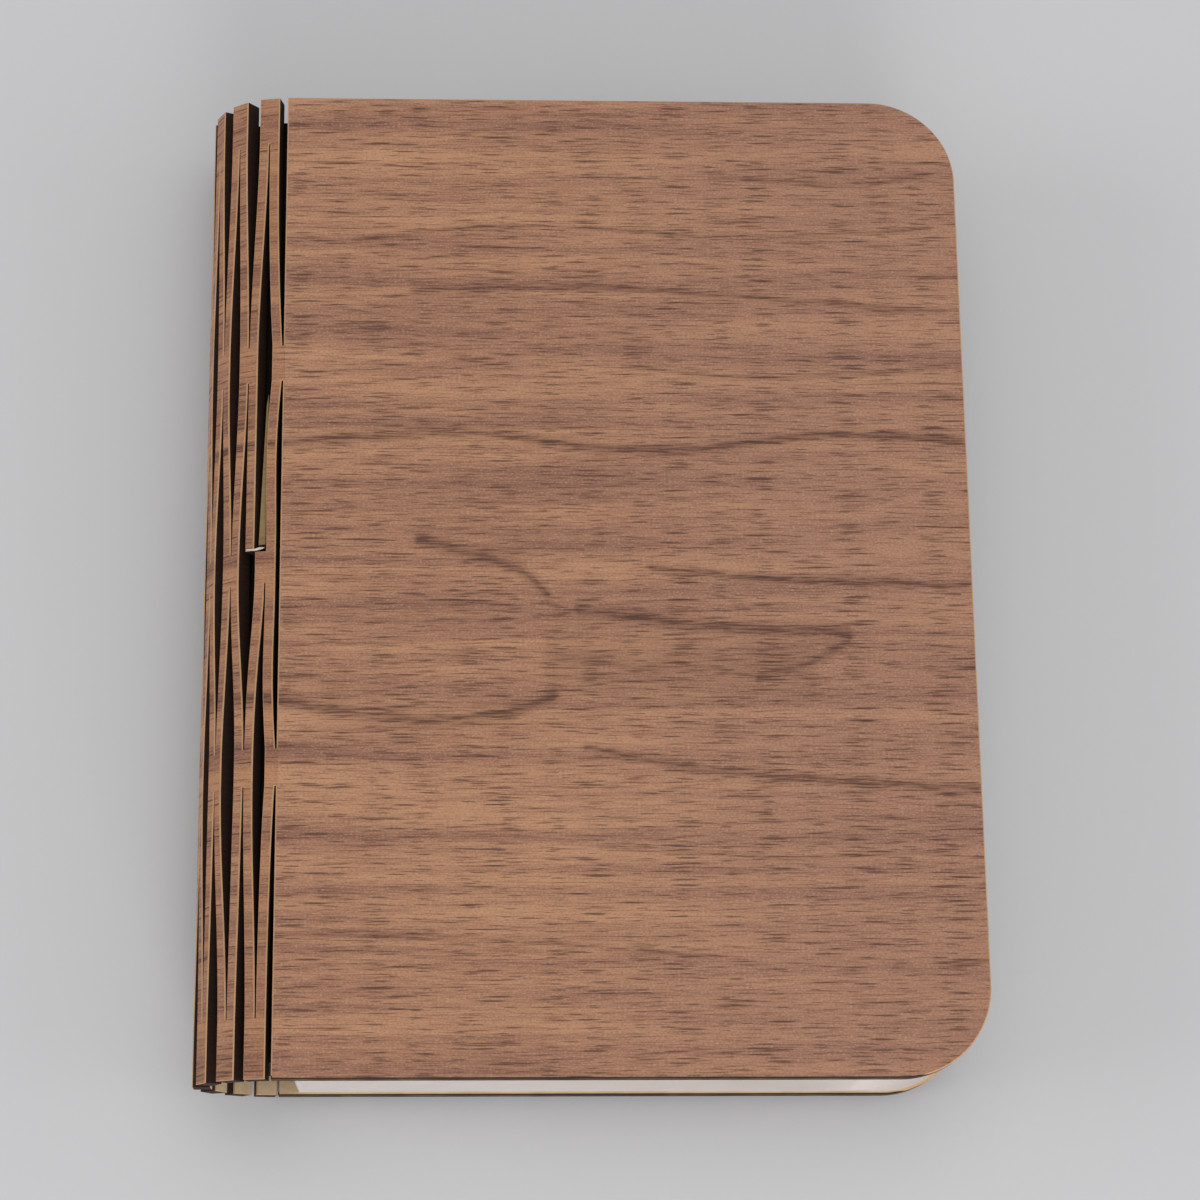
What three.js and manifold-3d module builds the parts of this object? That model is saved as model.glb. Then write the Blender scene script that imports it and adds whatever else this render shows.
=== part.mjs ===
// A folding book lamp: two walnut-faced boards joined by a laser-cut living hinge, with a
// pleated paper shade and a light bar between them. It is modelled closed, lying on its back cover.
// Millimetres. X runs from the spine to the fore edge, Y up the page, Z from the back cover to
// the front cover. The origin is the centre of the closed book's footprint.
import * as THREE from "three";
import { mergeVertices } from "three/addons/utils/BufferGeometryUtils.js";
import Module from "manifold-3d";

const wasm = await Module();
wasm.setup();
const { Manifold, Mesh: SolidMesh } = wasm;

// The book
const bookHeight = 166;
const bookThickness = 26.5;
const boardWidth = 113.5;
const boardThickness = 3;
const cornerRadius = 14.5;
const cornerSteps = 8;
const cutOverrun = 1;
const seatGap = 0.3;
const glueLine = 0.05;

// The living hinge: links that wrap the spine, each a pair of laser-cut strips
const linkCount = 7;
const stripWidth = 1.55;
const kerf = 0.25;
const pivotGap = 0.3;
const stripClearance = 0.42;
const endBridge = 8.5;
const middleBridge = 5.3;
const nibHeight = 5.3;
const nibCentreFromEnd = 48;
const bowSteps = 7;
const nibReliefAngle = THREE.MathUtils.degToRad(14.5);

// The paper shade
const pleatCount = 14;
const paperThickness = 0.3;
const pageInset = 0.5;
const pageStart = 4;
const foldWidth = 1.5;
const foldGap = 0.1;
const endpaperThickness = 0.25;

// Magnets let into the boards' inner faces
const magnetRadius = 5;
const magnetThickness = 1.5;
const magnetFit = 0.25;
const magnetFromForeEdge = 15;
const magnetFromEnd = 15;
const magnetLift = 0.1;
const triggerRadius = 2.5;
const triggerFromHinge = 9;
const triggerFromTop = 30;
const roundSteps = 20;
const arcSteps = 8;

// The light bar
const barEndInset = 3;
const barRadius = 9.4;
const barWall = 1.3;
const barFront = 2.4;
const barFlatDepth = 0.25;
const padWidth = 3.2;
const padEndInset = 6;
const capThickness = 1.6;
const capSpigot = 2.4;
const capSpigotWall = 1;
const carrierThickness = 1.2;
const carrierFit = 0.2;
const ledStripWidth = 4;
const ledStripThickness = 0.35;
const ledStripOffset = 3.9;
const ledStripEndInset = 4;
const ledCount = 14;
const ledLength = 3.5;
const ledWidth = 2.8;
const ledHeight = 0.7;
const diffuserThickness = 0.9;
const diffuserLeg = 1;
const diffuserCrown = 0.6;
const diffuserStand = 3.6;
const diffuserFit = 0.15;

// Screws that hold the carrier to posts in the bar's housing
const screwRadius = 0.9;
const screwHeadRadius = 1.7;
const screwHeadHeight = 0.7;
const screwLength = 5;
const screwFit = 0.15;
const screwSocketRadius = 0.9;
const screwSocketDepth = 0.4;
const screwSocketSides = 6;
const postRadius = 2;
const postBaseRadius = 2.9;
const screwFromEnd = 9;

// The battery and the charging board
const cellWidth = 12.6;
const cellThickness = 4.2;
const cellLength = 58;
const cellFromBottom = 12.5;
const boardLength = 40;
const boardWide = 11;
const boardThick = 1;
const boardFromTop = 2.7;
const boardBehindCarrier = 3.1;
const chipList = [
  { alongShare: 0.28, acrossShare: -0.2, length: 6, width: 5, height: 1.1 },
  { alongShare: 0.52, acrossShare: -0.16, length: 4, width: 4, height: 1.4 },
  { alongShare: 0.74, acrossShare: 0.16, length: 5, width: 3, height: 0.9 },
];
const socketWidth = 7.6;
const socketHeight = 2.8;
const socketDepth = 5.6;
const socketWall = 0.35;
const socketTongue = 0.7;
const socketTongueWidth = 4.4;
const socketFit = 0.3;
const socketProud = 0.4;
const lampRadius = 0.9;
const lampFit = 0.15;
const lampFromSocket = 2.3;
const lampLength = 3;
const reedRadius = 0.9;
const reedLength = 9;
const reedAcross = 4;
const leadRadius = 0.5;
const leadSpacing = 3;
const leadSides = 8;
const leadSteps = 14;
const leadSag = 0.8;

// Places worked out from the sizes above
const spineArc = Math.PI / linkCount;
const pivotRadius = (bookThickness - boardThickness) / 2;
const chordDistance = pivotRadius * Math.cos(spineArc / 2);
const linkPitch = 2 * pivotRadius * Math.sin(spineArc / 2);
const overallWidth = chordDistance + boardThickness / 2 + boardWidth;
const hingeX = chordDistance + boardThickness / 2 - overallWidth / 2;
const middleZ = bookThickness / 2;
const foreEdgeX = hingeX + boardWidth;
const halfHeight = bookHeight / 2;

const walnut = new THREE.MeshStandardMaterial({ color: 0x9a6b4b, roughness: 0.62, metalness: 0 });
const paper = new THREE.MeshStandardMaterial({ color: 0xeee9e2, roughness: 0.85, metalness: 0 });
const steel = new THREE.MeshStandardMaterial({ color: 0xb9bcc0, roughness: 0.3, metalness: 1 });
const blackPlastic = new THREE.MeshStandardMaterial({ color: 0x1b1a1a, roughness: 0.55 });
const whitePlastic = new THREE.MeshStandardMaterial({ color: 0xe9e9e6, roughness: 0.5 });
const opal = new THREE.MeshStandardMaterial({ color: 0xf4f2ea, roughness: 0.4 });
const circuitGreen = new THREE.MeshStandardMaterial({ color: 0x1f5b3a, roughness: 0.5 });
const ledWhite = new THREE.MeshStandardMaterial({ color: 0xf2e7b8, roughness: 0.45 });
const cellFoil = new THREE.MeshStandardMaterial({ color: 0x9da3ab, roughness: 0.38, metalness: 0.6 });
const leadRed = new THREE.MeshStandardMaterial({ color: 0xa51d1a, roughness: 0.5 });
const leadBlack = new THREE.MeshStandardMaterial({ color: 0x161616, roughness: 0.5 });
const adhesive = new THREE.MeshStandardMaterial({ color: 0x2b2a29, roughness: 0.9 });

// Solids and meshes

function solidOf(geometry) {
  const bare = geometry.clone();
  bare.deleteAttribute("normal");
  bare.deleteAttribute("uv");
  const merged = mergeVertices(bare, 1e-4);
  return new Manifold(
    new SolidMesh({
      numProp: 3,
      vertProperties: new Float32Array(merged.attributes.position.array),
      triVerts: new Uint32Array(merged.index.array),
    }),
  );
}

function geometryOf(solid) {
  const mesh = solid.getMesh();
  const stride = mesh.numProp;
  const positions = new Float32Array(mesh.numVert * 3);
  for (let i = 0; i < mesh.numVert; i += 1) {
    positions.set(mesh.vertProperties.subarray(i * stride, i * stride + 3), i * 3);
  }
  const geometry = new THREE.BufferGeometry();
  geometry.setAttribute("position", new THREE.BufferAttribute(positions, 3));
  geometry.setIndex(new THREE.BufferAttribute(new Uint32Array(mesh.triVerts), 1));
  const flat = geometry.toNonIndexed();
  flat.computeVertexNormals();
  return flat;
}

const lamp = new THREE.Group();

function addPart(name, geometry, material, parent = lamp) {
  const mesh = new THREE.Mesh(geometry, material);
  mesh.name = name;
  parent.add(mesh);
  return mesh;
}

// A box between two corners.
function boxBetween(low, high) {
  const size = high.map((value, i) => value - low[i]);
  const box = new THREE.BoxGeometry(...size);
  box.translate(...low.map((value, i) => value + size[i] / 2));
  return box;
}

// A shape in the XY plane, given thickness from z = base upwards.
function slab(shape, base, thickness, curveSegments = cornerSteps) {
  const solid = new THREE.ExtrudeGeometry(shape, {
    depth: thickness,
    bevelEnabled: false,
    curveSegments,
  });
  solid.translate(0, 0, base);
  return solid;
}

// A section drawn in X and Z, run along Y from one place to another.
function runAlongY(shape, fromY, toY, curveSegments = arcSteps) {
  const solid = new THREE.ExtrudeGeometry(shape, {
    depth: toY - fromY,
    bevelEnabled: false,
    curveSegments,
  });
  solid.rotateX(Math.PI / 2);
  solid.translate(0, toY, 0);
  return solid;
}

function rectangle(lowX, lowY, highX, highY) {
  const shape = new THREE.Shape();
  shape.moveTo(lowX, lowY);
  shape.lineTo(highX, lowY);
  shape.lineTo(highX, highY);
  shape.lineTo(lowX, highY);
  shape.closePath();
  return shape;
}

// A disc standing along Z from z = base upwards.
function disc(radius, thickness, x, y, base) {
  const solid = new THREE.CylinderGeometry(radius, radius, thickness, roundSteps);
  solid.rotateX(Math.PI / 2);
  solid.translate(x, y, base + thickness / 2);
  return solid;
}

// Covers

// The outline of a board or a page: square at the spine, rounded at the fore edge.
function pageOutline(startX, endX, halfLength, radius) {
  const shape = new THREE.Shape();
  shape.moveTo(startX, -halfLength);
  shape.lineTo(endX - radius, -halfLength);
  shape.absarc(endX - radius, -halfLength + radius, radius, -Math.PI / 2, 0, false);
  shape.lineTo(endX, halfLength - radius);
  shape.absarc(endX - radius, halfLength - radius, radius, 0, Math.PI / 2, false);
  shape.lineTo(startX, halfLength);
  shape.closePath();
  return shape;
}

const magnetX = foreEdgeX - magnetFromForeEdge;
const magnetY = halfHeight - magnetFromEnd;
const triggerX = hingeX + triggerFromHinge;
const triggerY = halfHeight - triggerFromTop;
const pocketDepth = magnetThickness + magnetLift + glueLine;

// A board with its magnet pockets sunk from the inner face at z = innerFace, towards the outside.
function coverBoard(base, innerFace, outward, pockets) {
  const outline = pageOutline(hingeX + pivotGap / 2, foreEdgeX, halfHeight, cornerRadius);
  let board = solidOf(slab(outline, base, boardThickness));
  for (const { x, y, radius } of pockets) {
    const floor = outward > 0 ? innerFace - cutOverrun : innerFace - pocketDepth;
    const pocket = disc(radius + magnetFit, pocketDepth + cutOverrun, x, y, floor);
    board = board.subtract(solidOf(pocket));
  }
  return geometryOf(board);
}

function endpaper(base) {
  const endX = foreEdgeX - pageInset;
  const outline = pageOutline(hingeX + pageStart, endX, halfHeight - pageInset, cornerRadius - pageInset);
  return slab(outline, base, endpaperThickness);
}

const backInner = boardThickness;
const frontInner = bookThickness - boardThickness;
const corners = [
  { end: "lower", x: magnetX, y: -magnetY, radius: magnetRadius },
  { end: "upper", x: magnetX, y: magnetY, radius: magnetRadius },
];
const trigger = { x: triggerX, y: triggerY, radius: triggerRadius };

addPart("back_cover_board", coverBoard(0, backInner, -1, corners), walnut);
addPart("front_cover_board", coverBoard(frontInner, frontInner, 1, [...corners, trigger]), walnut);
addPart("back_endpaper", endpaper(backInner), paper);
addPart("front_endpaper", endpaper(frontInner - endpaperThickness), paper);

for (const { end, x, y, radius } of corners) {
  const backBase = backInner - magnetLift - magnetThickness;
  const frontBase = frontInner + magnetLift;
  addPart(`back_magnet_${end}`, disc(radius, magnetThickness, x, y, backBase), steel);
  addPart(`front_magnet_${end}`, disc(radius, magnetThickness, x, y, frontBase), steel);
}
const triggerBase = frontInner + magnetLift;
addPart("switch_magnet", disc(triggerRadius, magnetThickness, triggerX, triggerY, triggerBase), steel);

// Living hinge

const tightCentre = (stripWidth + kerf) / 2;
const wideCentre = linkPitch / 2 - stripClearance - stripWidth / 2;
const slitEnd = halfHeight - endBridge;
const slitMiddle = middleBridge / 2;
const nibCentre = halfHeight - nibCentreFromEnd;

// How far a strip has bowed towards the next link at a height: 0 at a bridge, 1 at a nib.
function bowShare(y) {
  const height = Math.abs(y);
  const flatLow = nibCentre - nibHeight / 2;
  const flatHigh = nibCentre + nibHeight / 2;
  let share = 1;
  if (height < flatLow) {
    share = (height - slitMiddle) / (flatLow - slitMiddle);
  } else if (height > flatHigh) {
    share = (slitEnd - height) / (slitEnd - flatHigh);
  }
  return THREE.MathUtils.smoothstep(share, 0, 1);
}

function stripCentre(y) {
  return tightCentre + (wideCentre - tightCentre) * bowShare(y);
}

// The heights at which the strips' curves are drawn, from the middle bridge to the end bridge.
function bowHeights() {
  const heights = [];
  const rise = nibCentre - nibHeight / 2 - slitMiddle;
  const fall = slitEnd - nibCentre - nibHeight / 2;
  for (let i = 0; i <= bowSteps; i += 1) {
    heights.push(slitMiddle + (rise * i) / bowSteps);
  }
  for (let i = 0; i <= bowSteps; i += 1) {
    heights.push(nibCentre + nibHeight / 2 + (fall * i) / bowSteps);
  }
  return heights;
}

// One link: two bowed strips joined by bridges at both ends and in the middle, cut from one board.
// X runs along the chain, Z outwards, and the origin is the middle of the link.
function linkSolid() {
  const upper = bowHeights();
  const lower = upper.map((y) => -y).reverse();
  const heights = [-halfHeight, ...lower, ...upper, halfHeight];
  const outline = new THREE.Shape();
  const right = heights.map((y) => new THREE.Vector2(stripCentre(y) + stripWidth / 2, y));
  const left = [...heights].reverse().map((y) => new THREE.Vector2(-stripCentre(y) - stripWidth / 2, y));
  outline.setFromPoints([...right, ...left]);
  for (const part of [lower, upper]) {
    const slit = new THREE.Path();
    const rightEdge = part.map((y) => new THREE.Vector2(stripCentre(y) - stripWidth / 2, y));
    const leftEdge = [...part].reverse().map((y) => new THREE.Vector2(stripWidth / 2 - stripCentre(y), y));
    slit.setFromPoints([...rightEdge, ...leftEdge]);
    outline.holes.push(slit);
  }
  let link = solidOf(slab(outline, -boardThickness / 2, boardThickness));
  for (const y of [-nibCentre, nibCentre]) {
    for (const side of [-1, 1]) {
      link = link.add(solidOf(hingeNib(side, y)));
    }
  }
  return link;
}

// The hinge's bend line: a wedge whose edge stands half the pivot gap short of the bend.
function hingeNib(side, y) {
  const root = wideCentre + stripWidth / 2 - kerf;
  const tip = linkPitch / 2 - pivotGap / 2;
  const spread = (tip - root) / Math.tan(nibReliefAngle);
  const halfRoot = Math.min(boardThickness / 2, spread);
  const nib = new THREE.Shape();
  nib.moveTo(root, -halfRoot);
  nib.lineTo(tip - halfRoot * Math.tan(nibReliefAngle), -halfRoot);
  nib.lineTo(tip, 0);
  nib.lineTo(tip - halfRoot * Math.tan(nibReliefAngle), halfRoot);
  nib.lineTo(root, halfRoot);
  nib.closePath();
  const solid = runAlongY(nib, y - nibHeight / 2, y + nibHeight / 2);
  if (side < 0) {
    solid.rotateY(Math.PI);
  }
  return solid;
}

const linkGeometry = geometryOf(linkSolid());
for (let i = 1; i <= linkCount; i += 1) {
  const turn = spineArc * (i - 1 / 2);
  const link = addPart(`spine_link_${i}`, linkGeometry, walnut);
  link.position.set(
    hingeX - chordDistance * Math.sin(turn),
    0,
    middleZ - chordDistance * Math.cos(turn),
  );
  link.rotation.y = Math.PI + turn;
}

// Paper shade

const stackLow = backInner + endpaperThickness;
const stackHigh = frontInner - endpaperThickness;
const pleatThickness = (stackHigh - stackLow - (pleatCount + 1) * seatGap) / pleatCount;

// One pleat: two sheets that meet in a fold at the fore edge and stand apart at the spine.
function pleat(base) {
  const startX = hingeX + pageStart;
  const endX = foreEdgeX - pageInset;
  const outline = pageOutline(startX, endX, halfHeight - pageInset, cornerRadius - pageInset);
  const closed = solidOf(slab(outline, base, pleatThickness));
  const middle = base + pleatThickness / 2;
  const mouth = pleatThickness / 2 - paperThickness;
  const wedge = new THREE.Shape();
  wedge.moveTo(startX - cutOverrun, middle - mouth);
  wedge.lineTo(endX - foldWidth, middle - foldGap / 2);
  wedge.lineTo(endX - foldWidth, middle + foldGap / 2);
  wedge.lineTo(startX - cutOverrun, middle + mouth);
  wedge.closePath();
  const gap = runAlongY(wedge, -halfHeight - cutOverrun, halfHeight + cutOverrun);
  return geometryOf(closed.subtract(solidOf(gap)));
}

for (let i = 0; i < pleatCount; i += 1) {
  const base = stackLow + seatGap + i * (pleatThickness + seatGap);
  const label = String(i + 1).padStart(2, "0");
  addPart(`shade_pleat_${label}`, pleat(base), paper);
}

// Light bar

const bar = new THREE.Group();
bar.position.set(hingeX, 0, middleZ);
lamp.add(bar);

const barFlat = barRadius - barFlatDepth;
const barHalf = halfHeight - barEndInset;
const bodyHalf = barHalf - capThickness;
const innerRadius = barRadius - barWall;
const carrierFront = barFront - diffuserStand + carrierThickness;

// The bar's section: a half round with a flat on its back and straight sides to the front.
function barSection(radius, front, flat) {
  const flatAngle = Math.acos(flat / radius);
  const shape = new THREE.Shape();
  shape.moveTo(front, radius);
  shape.lineTo(0, radius);
  shape.absarc(0, 0, radius, Math.PI / 2, Math.PI - flatAngle, false);
  shape.lineTo(-flat, -radius * Math.sin(flatAngle));
  shape.absarc(0, 0, radius, Math.PI + flatAngle, Math.PI * 1.5, false);
  shape.lineTo(front, -radius);
  shape.closePath();
  return shape;
}

const screwY = [-barHalf + screwFromEnd, barHalf - screwFromEnd];
const carrierBack = carrierFront - carrierThickness;
const boardFront = carrierBack - boardBehindCarrier;
const boardBack = boardFront - boardThick;

// A cylinder standing along X from x = base forwards.
function postAlongX(radius, base, tip, y, z, steps = roundSteps) {
  const post = new THREE.CylinderGeometry(radius, radius, tip - base, steps);
  post.rotateZ(Math.PI / 2);
  post.translate((base + tip) / 2, y, z);
  return post;
}

function barHousing() {
  let housing = solidOf(runAlongY(barSection(barRadius, barFront, barFlat), -bodyHalf, bodyHalf));
  const hollow = barSection(innerRadius, barFront + cutOverrun, innerRadius - barFlatDepth);
  housing = housing.subtract(
    solidOf(runAlongY(hollow, -bodyHalf - cutOverrun, bodyHalf + cutOverrun)),
  );
  for (const y of screwY) {
    const back = -innerRadius - barWall / 2;
    housing = housing.add(solidOf(postAlongX(postRadius, back, carrierBack - glueLine, y, 0)));
    housing = housing.add(solidOf(postAlongX(postBaseRadius, back, boardBack - glueLine, y, 0)));
    const pilot = postAlongX(screwRadius + screwFit, carrierFront - screwLength, barFront, y, 0);
    housing = housing.subtract(solidOf(pilot));
  }
  return geometryOf(housing);
}
addPart("bar_housing", barHousing(), blackPlastic, bar);

// The plate across the housing's mouth that carries the light strips.
function ledCarrier() {
  const half = innerRadius - carrierFit;
  const end = bodyHalf - capSpigot - carrierFit;
  const plate = boxBetween([carrierBack, -end, -half], [carrierFront, end, half]);
  let carrier = solidOf(plate);
  for (const y of screwY) {
    const hole = postAlongX(screwRadius + screwFit, carrierBack - cutOverrun, barFront, y, 0);
    carrier = carrier.subtract(solidOf(hole));
  }
  return geometryOf(carrier);
}
addPart("led_carrier", ledCarrier(), whitePlastic, bar);

// A flexible light strip with its row of light chips.
function ledStrip(side) {
  const end = bodyHalf - capSpigot - ledStripEndInset;
  const middle = side * ledStripOffset;
  const base = carrierFront;
  const tape = boxBetween(
    [base, -end, middle - ledStripWidth / 2],
    [base + ledStripThickness, end, middle + ledStripWidth / 2],
  );
  let strip = solidOf(tape);
  const pitch = (2 * end) / ledCount;
  for (let i = 0; i < ledCount; i += 1) {
    const y = -end + pitch * (i + 1 / 2);
    const chip = boxBetween(
      [base, y - ledLength / 2, middle - ledWidth / 2],
      [base + ledStripThickness + ledHeight, y + ledLength / 2, middle + ledWidth / 2],
    );
    strip = strip.add(solidOf(chip));
  }
  return geometryOf(strip);
}
addPart("led_strip_back", ledStrip(-1), ledWhite, bar);
addPart("led_strip_front", ledStrip(1), ledWhite, bar);

// The opal cover over the light strips, a crowned channel whose legs stand on the carrier.
function diffuser() {
  const half = innerRadius - diffuserFit;
  const foot = carrierFront + glueLine;
  const brow = barFront;
  const channel = new THREE.Shape();
  channel.moveTo(foot, -half);
  channel.lineTo(brow, -half);
  channel.quadraticCurveTo(brow + 2 * diffuserCrown, 0, brow, half);
  channel.lineTo(foot, half);
  channel.lineTo(foot, half - diffuserLeg);
  channel.lineTo(brow - diffuserThickness + diffuserCrown / 2, half - diffuserLeg);
  channel.quadraticCurveTo(
    brow + 2 * diffuserCrown - diffuserThickness,
    0,
    brow - diffuserThickness + diffuserCrown / 2,
    diffuserLeg - half,
  );
  channel.lineTo(foot, diffuserLeg - half);
  channel.closePath();
  const end = bodyHalf - capSpigot - carrierFit;
  return runAlongY(channel, -end, end, bowSteps);
}
addPart("led_diffuser", diffuser(), opal, bar);

// A pan-head screw with a six-sided drive recess, its head on the carrier.
function carrierScrew(y) {
  const head = carrierFront + glueLine;
  const top = head + screwHeadHeight;
  const shank = solidOf(postAlongX(screwRadius, head - screwLength + carrierThickness, top, y, 0));
  const cap = solidOf(postAlongX(screwHeadRadius, head, top, y, 0));
  const driveBase = top - screwSocketDepth;
  const drive = postAlongX(screwSocketRadius, driveBase, top + cutOverrun, y, 0, screwSocketSides);
  return geometryOf(shank.add(cap).subtract(solidOf(drive)));
}
addPart("carrier_screw_lower", carrierScrew(screwY[0]), steel, bar);
addPart("carrier_screw_upper", carrierScrew(screwY[1]), steel, bar);

// The adhesive pad that holds the bar to the middle link.
function mountingPad() {
  const linkFace = -chordDistance + boardThickness / 2;
  const end = barHalf - padEndInset;
  return boxBetween(
    [linkFace + glueLine, -end, -padWidth / 2],
    [-barFlat - glueLine, end, padWidth / 2],
  );
}
addPart("bar_mounting_pad", mountingPad(), adhesive, bar);

// Charging board, socket and end caps

const boardTopY = bodyHalf - boardFromTop;
const socketMiddleX = boardFront + glueLine + socketHeight / 2;

// An end cap: the bar's section with a spigot inside the housing and any openings cut through.
function endCap(side, cuts) {
  const outer = side * barHalf;
  const inner = side * (bodyHalf + glueLine);
  const tip = side * (bodyHalf - capSpigot);
  const plate = runAlongY(
    barSection(barRadius, barFront, barFlat),
    Math.min(outer, inner),
    Math.max(outer, inner),
  );
  const spigotRadius = innerRadius - seatGap / 2;
  const spigotFront = barFront - diffuserThickness;
  const spigotFlat = spigotRadius - barFlatDepth;
  const spigot = solidOf(
    runAlongY(
      barSection(spigotRadius, spigotFront, spigotFlat),
      Math.min(outer, tip),
      Math.max(outer, tip),
    ),
  );
  const hollowRadius = spigotRadius - capSpigotWall;
  const hollow = runAlongY(
    barSection(hollowRadius, spigotFront - capSpigotWall, hollowRadius - barFlatDepth),
    Math.min(inner, tip - side * cutOverrun),
    Math.max(inner, tip - side * cutOverrun),
  );
  let cap = solidOf(plate).add(spigot).subtract(solidOf(hollow));
  for (const cut of cuts) {
    cap = cap.subtract(solidOf(cut));
  }
  return geometryOf(cap);
}

const lampZ = socketWidth / 2 + lampFromSocket;
const socketOpening = boxBetween(
  [
    socketMiddleX - socketHeight / 2 - socketFit,
    bodyHalf - capSpigot - cutOverrun,
    -socketWidth / 2 - socketFit,
  ],
  [
    socketMiddleX + socketHeight / 2 + socketFit,
    barHalf + cutOverrun,
    socketWidth / 2 + socketFit,
  ],
);

// A cylinder standing along Y.
function rodAlongY(radius, fromY, toY, x, z) {
  const rod = new THREE.CylinderGeometry(radius, radius, toY - fromY, roundSteps);
  rod.translate(x, (fromY + toY) / 2, z);
  return rod;
}

const lampHole = rodAlongY(
  lampRadius + lampFit,
  bodyHalf - capSpigot - cutOverrun,
  barHalf + cutOverrun,
  socketMiddleX,
  lampZ,
);
addPart("end_cap_upper", endCap(1, [socketOpening, lampHole]), blackPlastic, bar);
addPart("end_cap_lower", endCap(-1, []), blackPlastic, bar);

// The charging socket: a folded metal shell round a contact tongue, mouth at the upper end.
function chargingSocket() {
  const mouth = barHalf - socketProud;
  const back = mouth - socketDepth;
  const lowX = socketMiddleX - socketHeight / 2;
  const highX = socketMiddleX + socketHeight / 2;
  const shell = solidOf(
    boxBetween([lowX, back, -socketWidth / 2], [highX, mouth, socketWidth / 2]),
  );
  const hollow = solidOf(
    boxBetween(
      [lowX + socketWall, back + socketWall, -socketWidth / 2 + socketWall],
      [highX - socketWall, mouth + cutOverrun, socketWidth / 2 - socketWall],
    ),
  );
  const tongue = solidOf(
    boxBetween(
      [socketMiddleX - socketTongue / 2, back, -socketTongueWidth / 2],
      [socketMiddleX + socketTongue / 2, mouth - socketTongue, socketTongueWidth / 2],
    ),
  );
  return geometryOf(shell.subtract(hollow).add(tongue));
}
addPart("charging_socket", chargingSocket(), steel, bar);

function chargingBoard() {
  const low = boardTopY - boardLength;
  let board = solidOf(
    boxBetween([boardBack, low, -boardWide / 2], [boardFront, boardTopY, boardWide / 2]),
  );
  const postHole = postAlongX(
    postRadius + socketFit,
    boardBack - cutOverrun,
    boardFront + cutOverrun,
    screwY[1],
    0,
  );
  board = board.subtract(solidOf(postHole));
  for (const chip of chipList) {
    const y = boardTopY - boardLength * chip.alongShare;
    const z = boardWide * chip.acrossShare;
    const body = boxBetween(
      [boardFront - boardThick / 2, y - chip.length / 2, z - chip.width / 2],
      [boardFront + chip.height, y + chip.length / 2, z + chip.width / 2],
    );
    board = board.add(solidOf(body));
  }
  return geometryOf(board);
}
addPart("charging_board", chargingBoard(), circuitGreen, bar);

const lampTop = barHalf;
addPart(
  "charge_indicator",
  rodAlongY(lampRadius, lampTop - lampLength, lampTop, socketMiddleX, lampZ),
  opal,
  bar,
);

// The sealed magnetic switch lies on the board, below the switch magnet in the front cover.
function reedSwitch() {
  const x = boardFront + glueLine + reedRadius;
  return rodAlongY(reedRadius, triggerY - reedLength / 2, triggerY + reedLength / 2, x, reedAcross);
}
addPart("magnetic_switch", reedSwitch(), opal, bar);

// Battery and leads

const cellLow = -barHalf + cellFromBottom;
const cellFront = carrierBack - seatGap;
const cellBack = cellFront - cellThickness;

function batteryCell() {
  const shape = rectangle(cellBack, -cellWidth / 2, cellFront, cellWidth / 2);
  const cell = solidOf(runAlongY(shape, cellLow, cellLow + cellLength));
  const round = cellThickness / 2;
  let rounded = cell;
  for (const side of [-1, 1]) {
    const edge = side * (cellWidth / 2);
    const keepFrom = side * (cellWidth / 2 - round);
    const strip = boxBetween(
      [cellBack - cutOverrun, cellLow - cutOverrun, Math.min(edge + side * cutOverrun, keepFrom)],
      [
        cellFront + cutOverrun,
        cellLow + cellLength + cutOverrun,
        Math.max(edge + side * cutOverrun, keepFrom),
      ],
    );
    const bulge = rodAlongY(
      round,
      cellLow,
      cellLow + cellLength,
      (cellBack + cellFront) / 2,
      keepFrom,
    );
    rounded = rounded.subtract(solidOf(strip)).add(solidOf(bulge));
  }
  return geometryOf(rounded);
}
addPart("battery_cell", batteryCell(), cellFoil, bar);

// A lead from the top of the cell to the lower end of the board.
function batteryLead(side) {
  const startY = cellLow + cellLength + glueLine;
  const endY = boardTopY - boardLength - glueLine;
  const startX = (cellBack + cellFront) / 2;
  const endX = (boardBack + boardFront) / 2;
  const z = (side * leadSpacing) / 2;
  const rise = endY - startY;
  const path = new THREE.CatmullRomCurve3([
    new THREE.Vector3(startX, startY, z),
    new THREE.Vector3(startX, startY + rise / 4, z),
    new THREE.Vector3((startX + endX) / 2, startY + rise / 2, z + side * leadSag),
    new THREE.Vector3(endX, endY - rise / 4, z),
    new THREE.Vector3(endX, endY, z),
  ]);
  const section = new THREE.Shape();
  for (let i = 0; i < leadSides; i += 1) {
    const angle = (2 * Math.PI * i) / leadSides;
    const x = leadRadius * Math.cos(angle);
    const y = leadRadius * Math.sin(angle);
    if (i === 0) {
      section.moveTo(x, y);
    } else {
      section.lineTo(x, y);
    }
  }
  section.closePath();
  return new THREE.ExtrudeGeometry(section, { steps: leadSteps, extrudePath: path });
}
addPart("battery_lead_red", batteryLead(1), leadRed, bar);
addPart("battery_lead_black", batteryLead(-1), leadBlack, bar);

export default lamp;
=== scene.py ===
# %% [markdown]
# # A wooden book lamp, closed
#
# The lamp is a book: two thin boards with a walnut face, joined by a spine that a laser has
# cut into a springy lattice, with a pleated paper shade between the boards and a light bar
# inside the spine. The measured model is loaded first and never moved. What is made here
# rides on its bodies, but for the stretches of the spine and the folds between links, which
# are made in the closed pose and stay there. What is made here
# rides on its bodies, so that the same script looks right with the book shut or open.
# Everything is in metres, so `MM` turns the sizes of the drawing, in millimetres, into metres.

import math

import bpy
import numpy as np
from mathutils import Matrix, Vector


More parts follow.
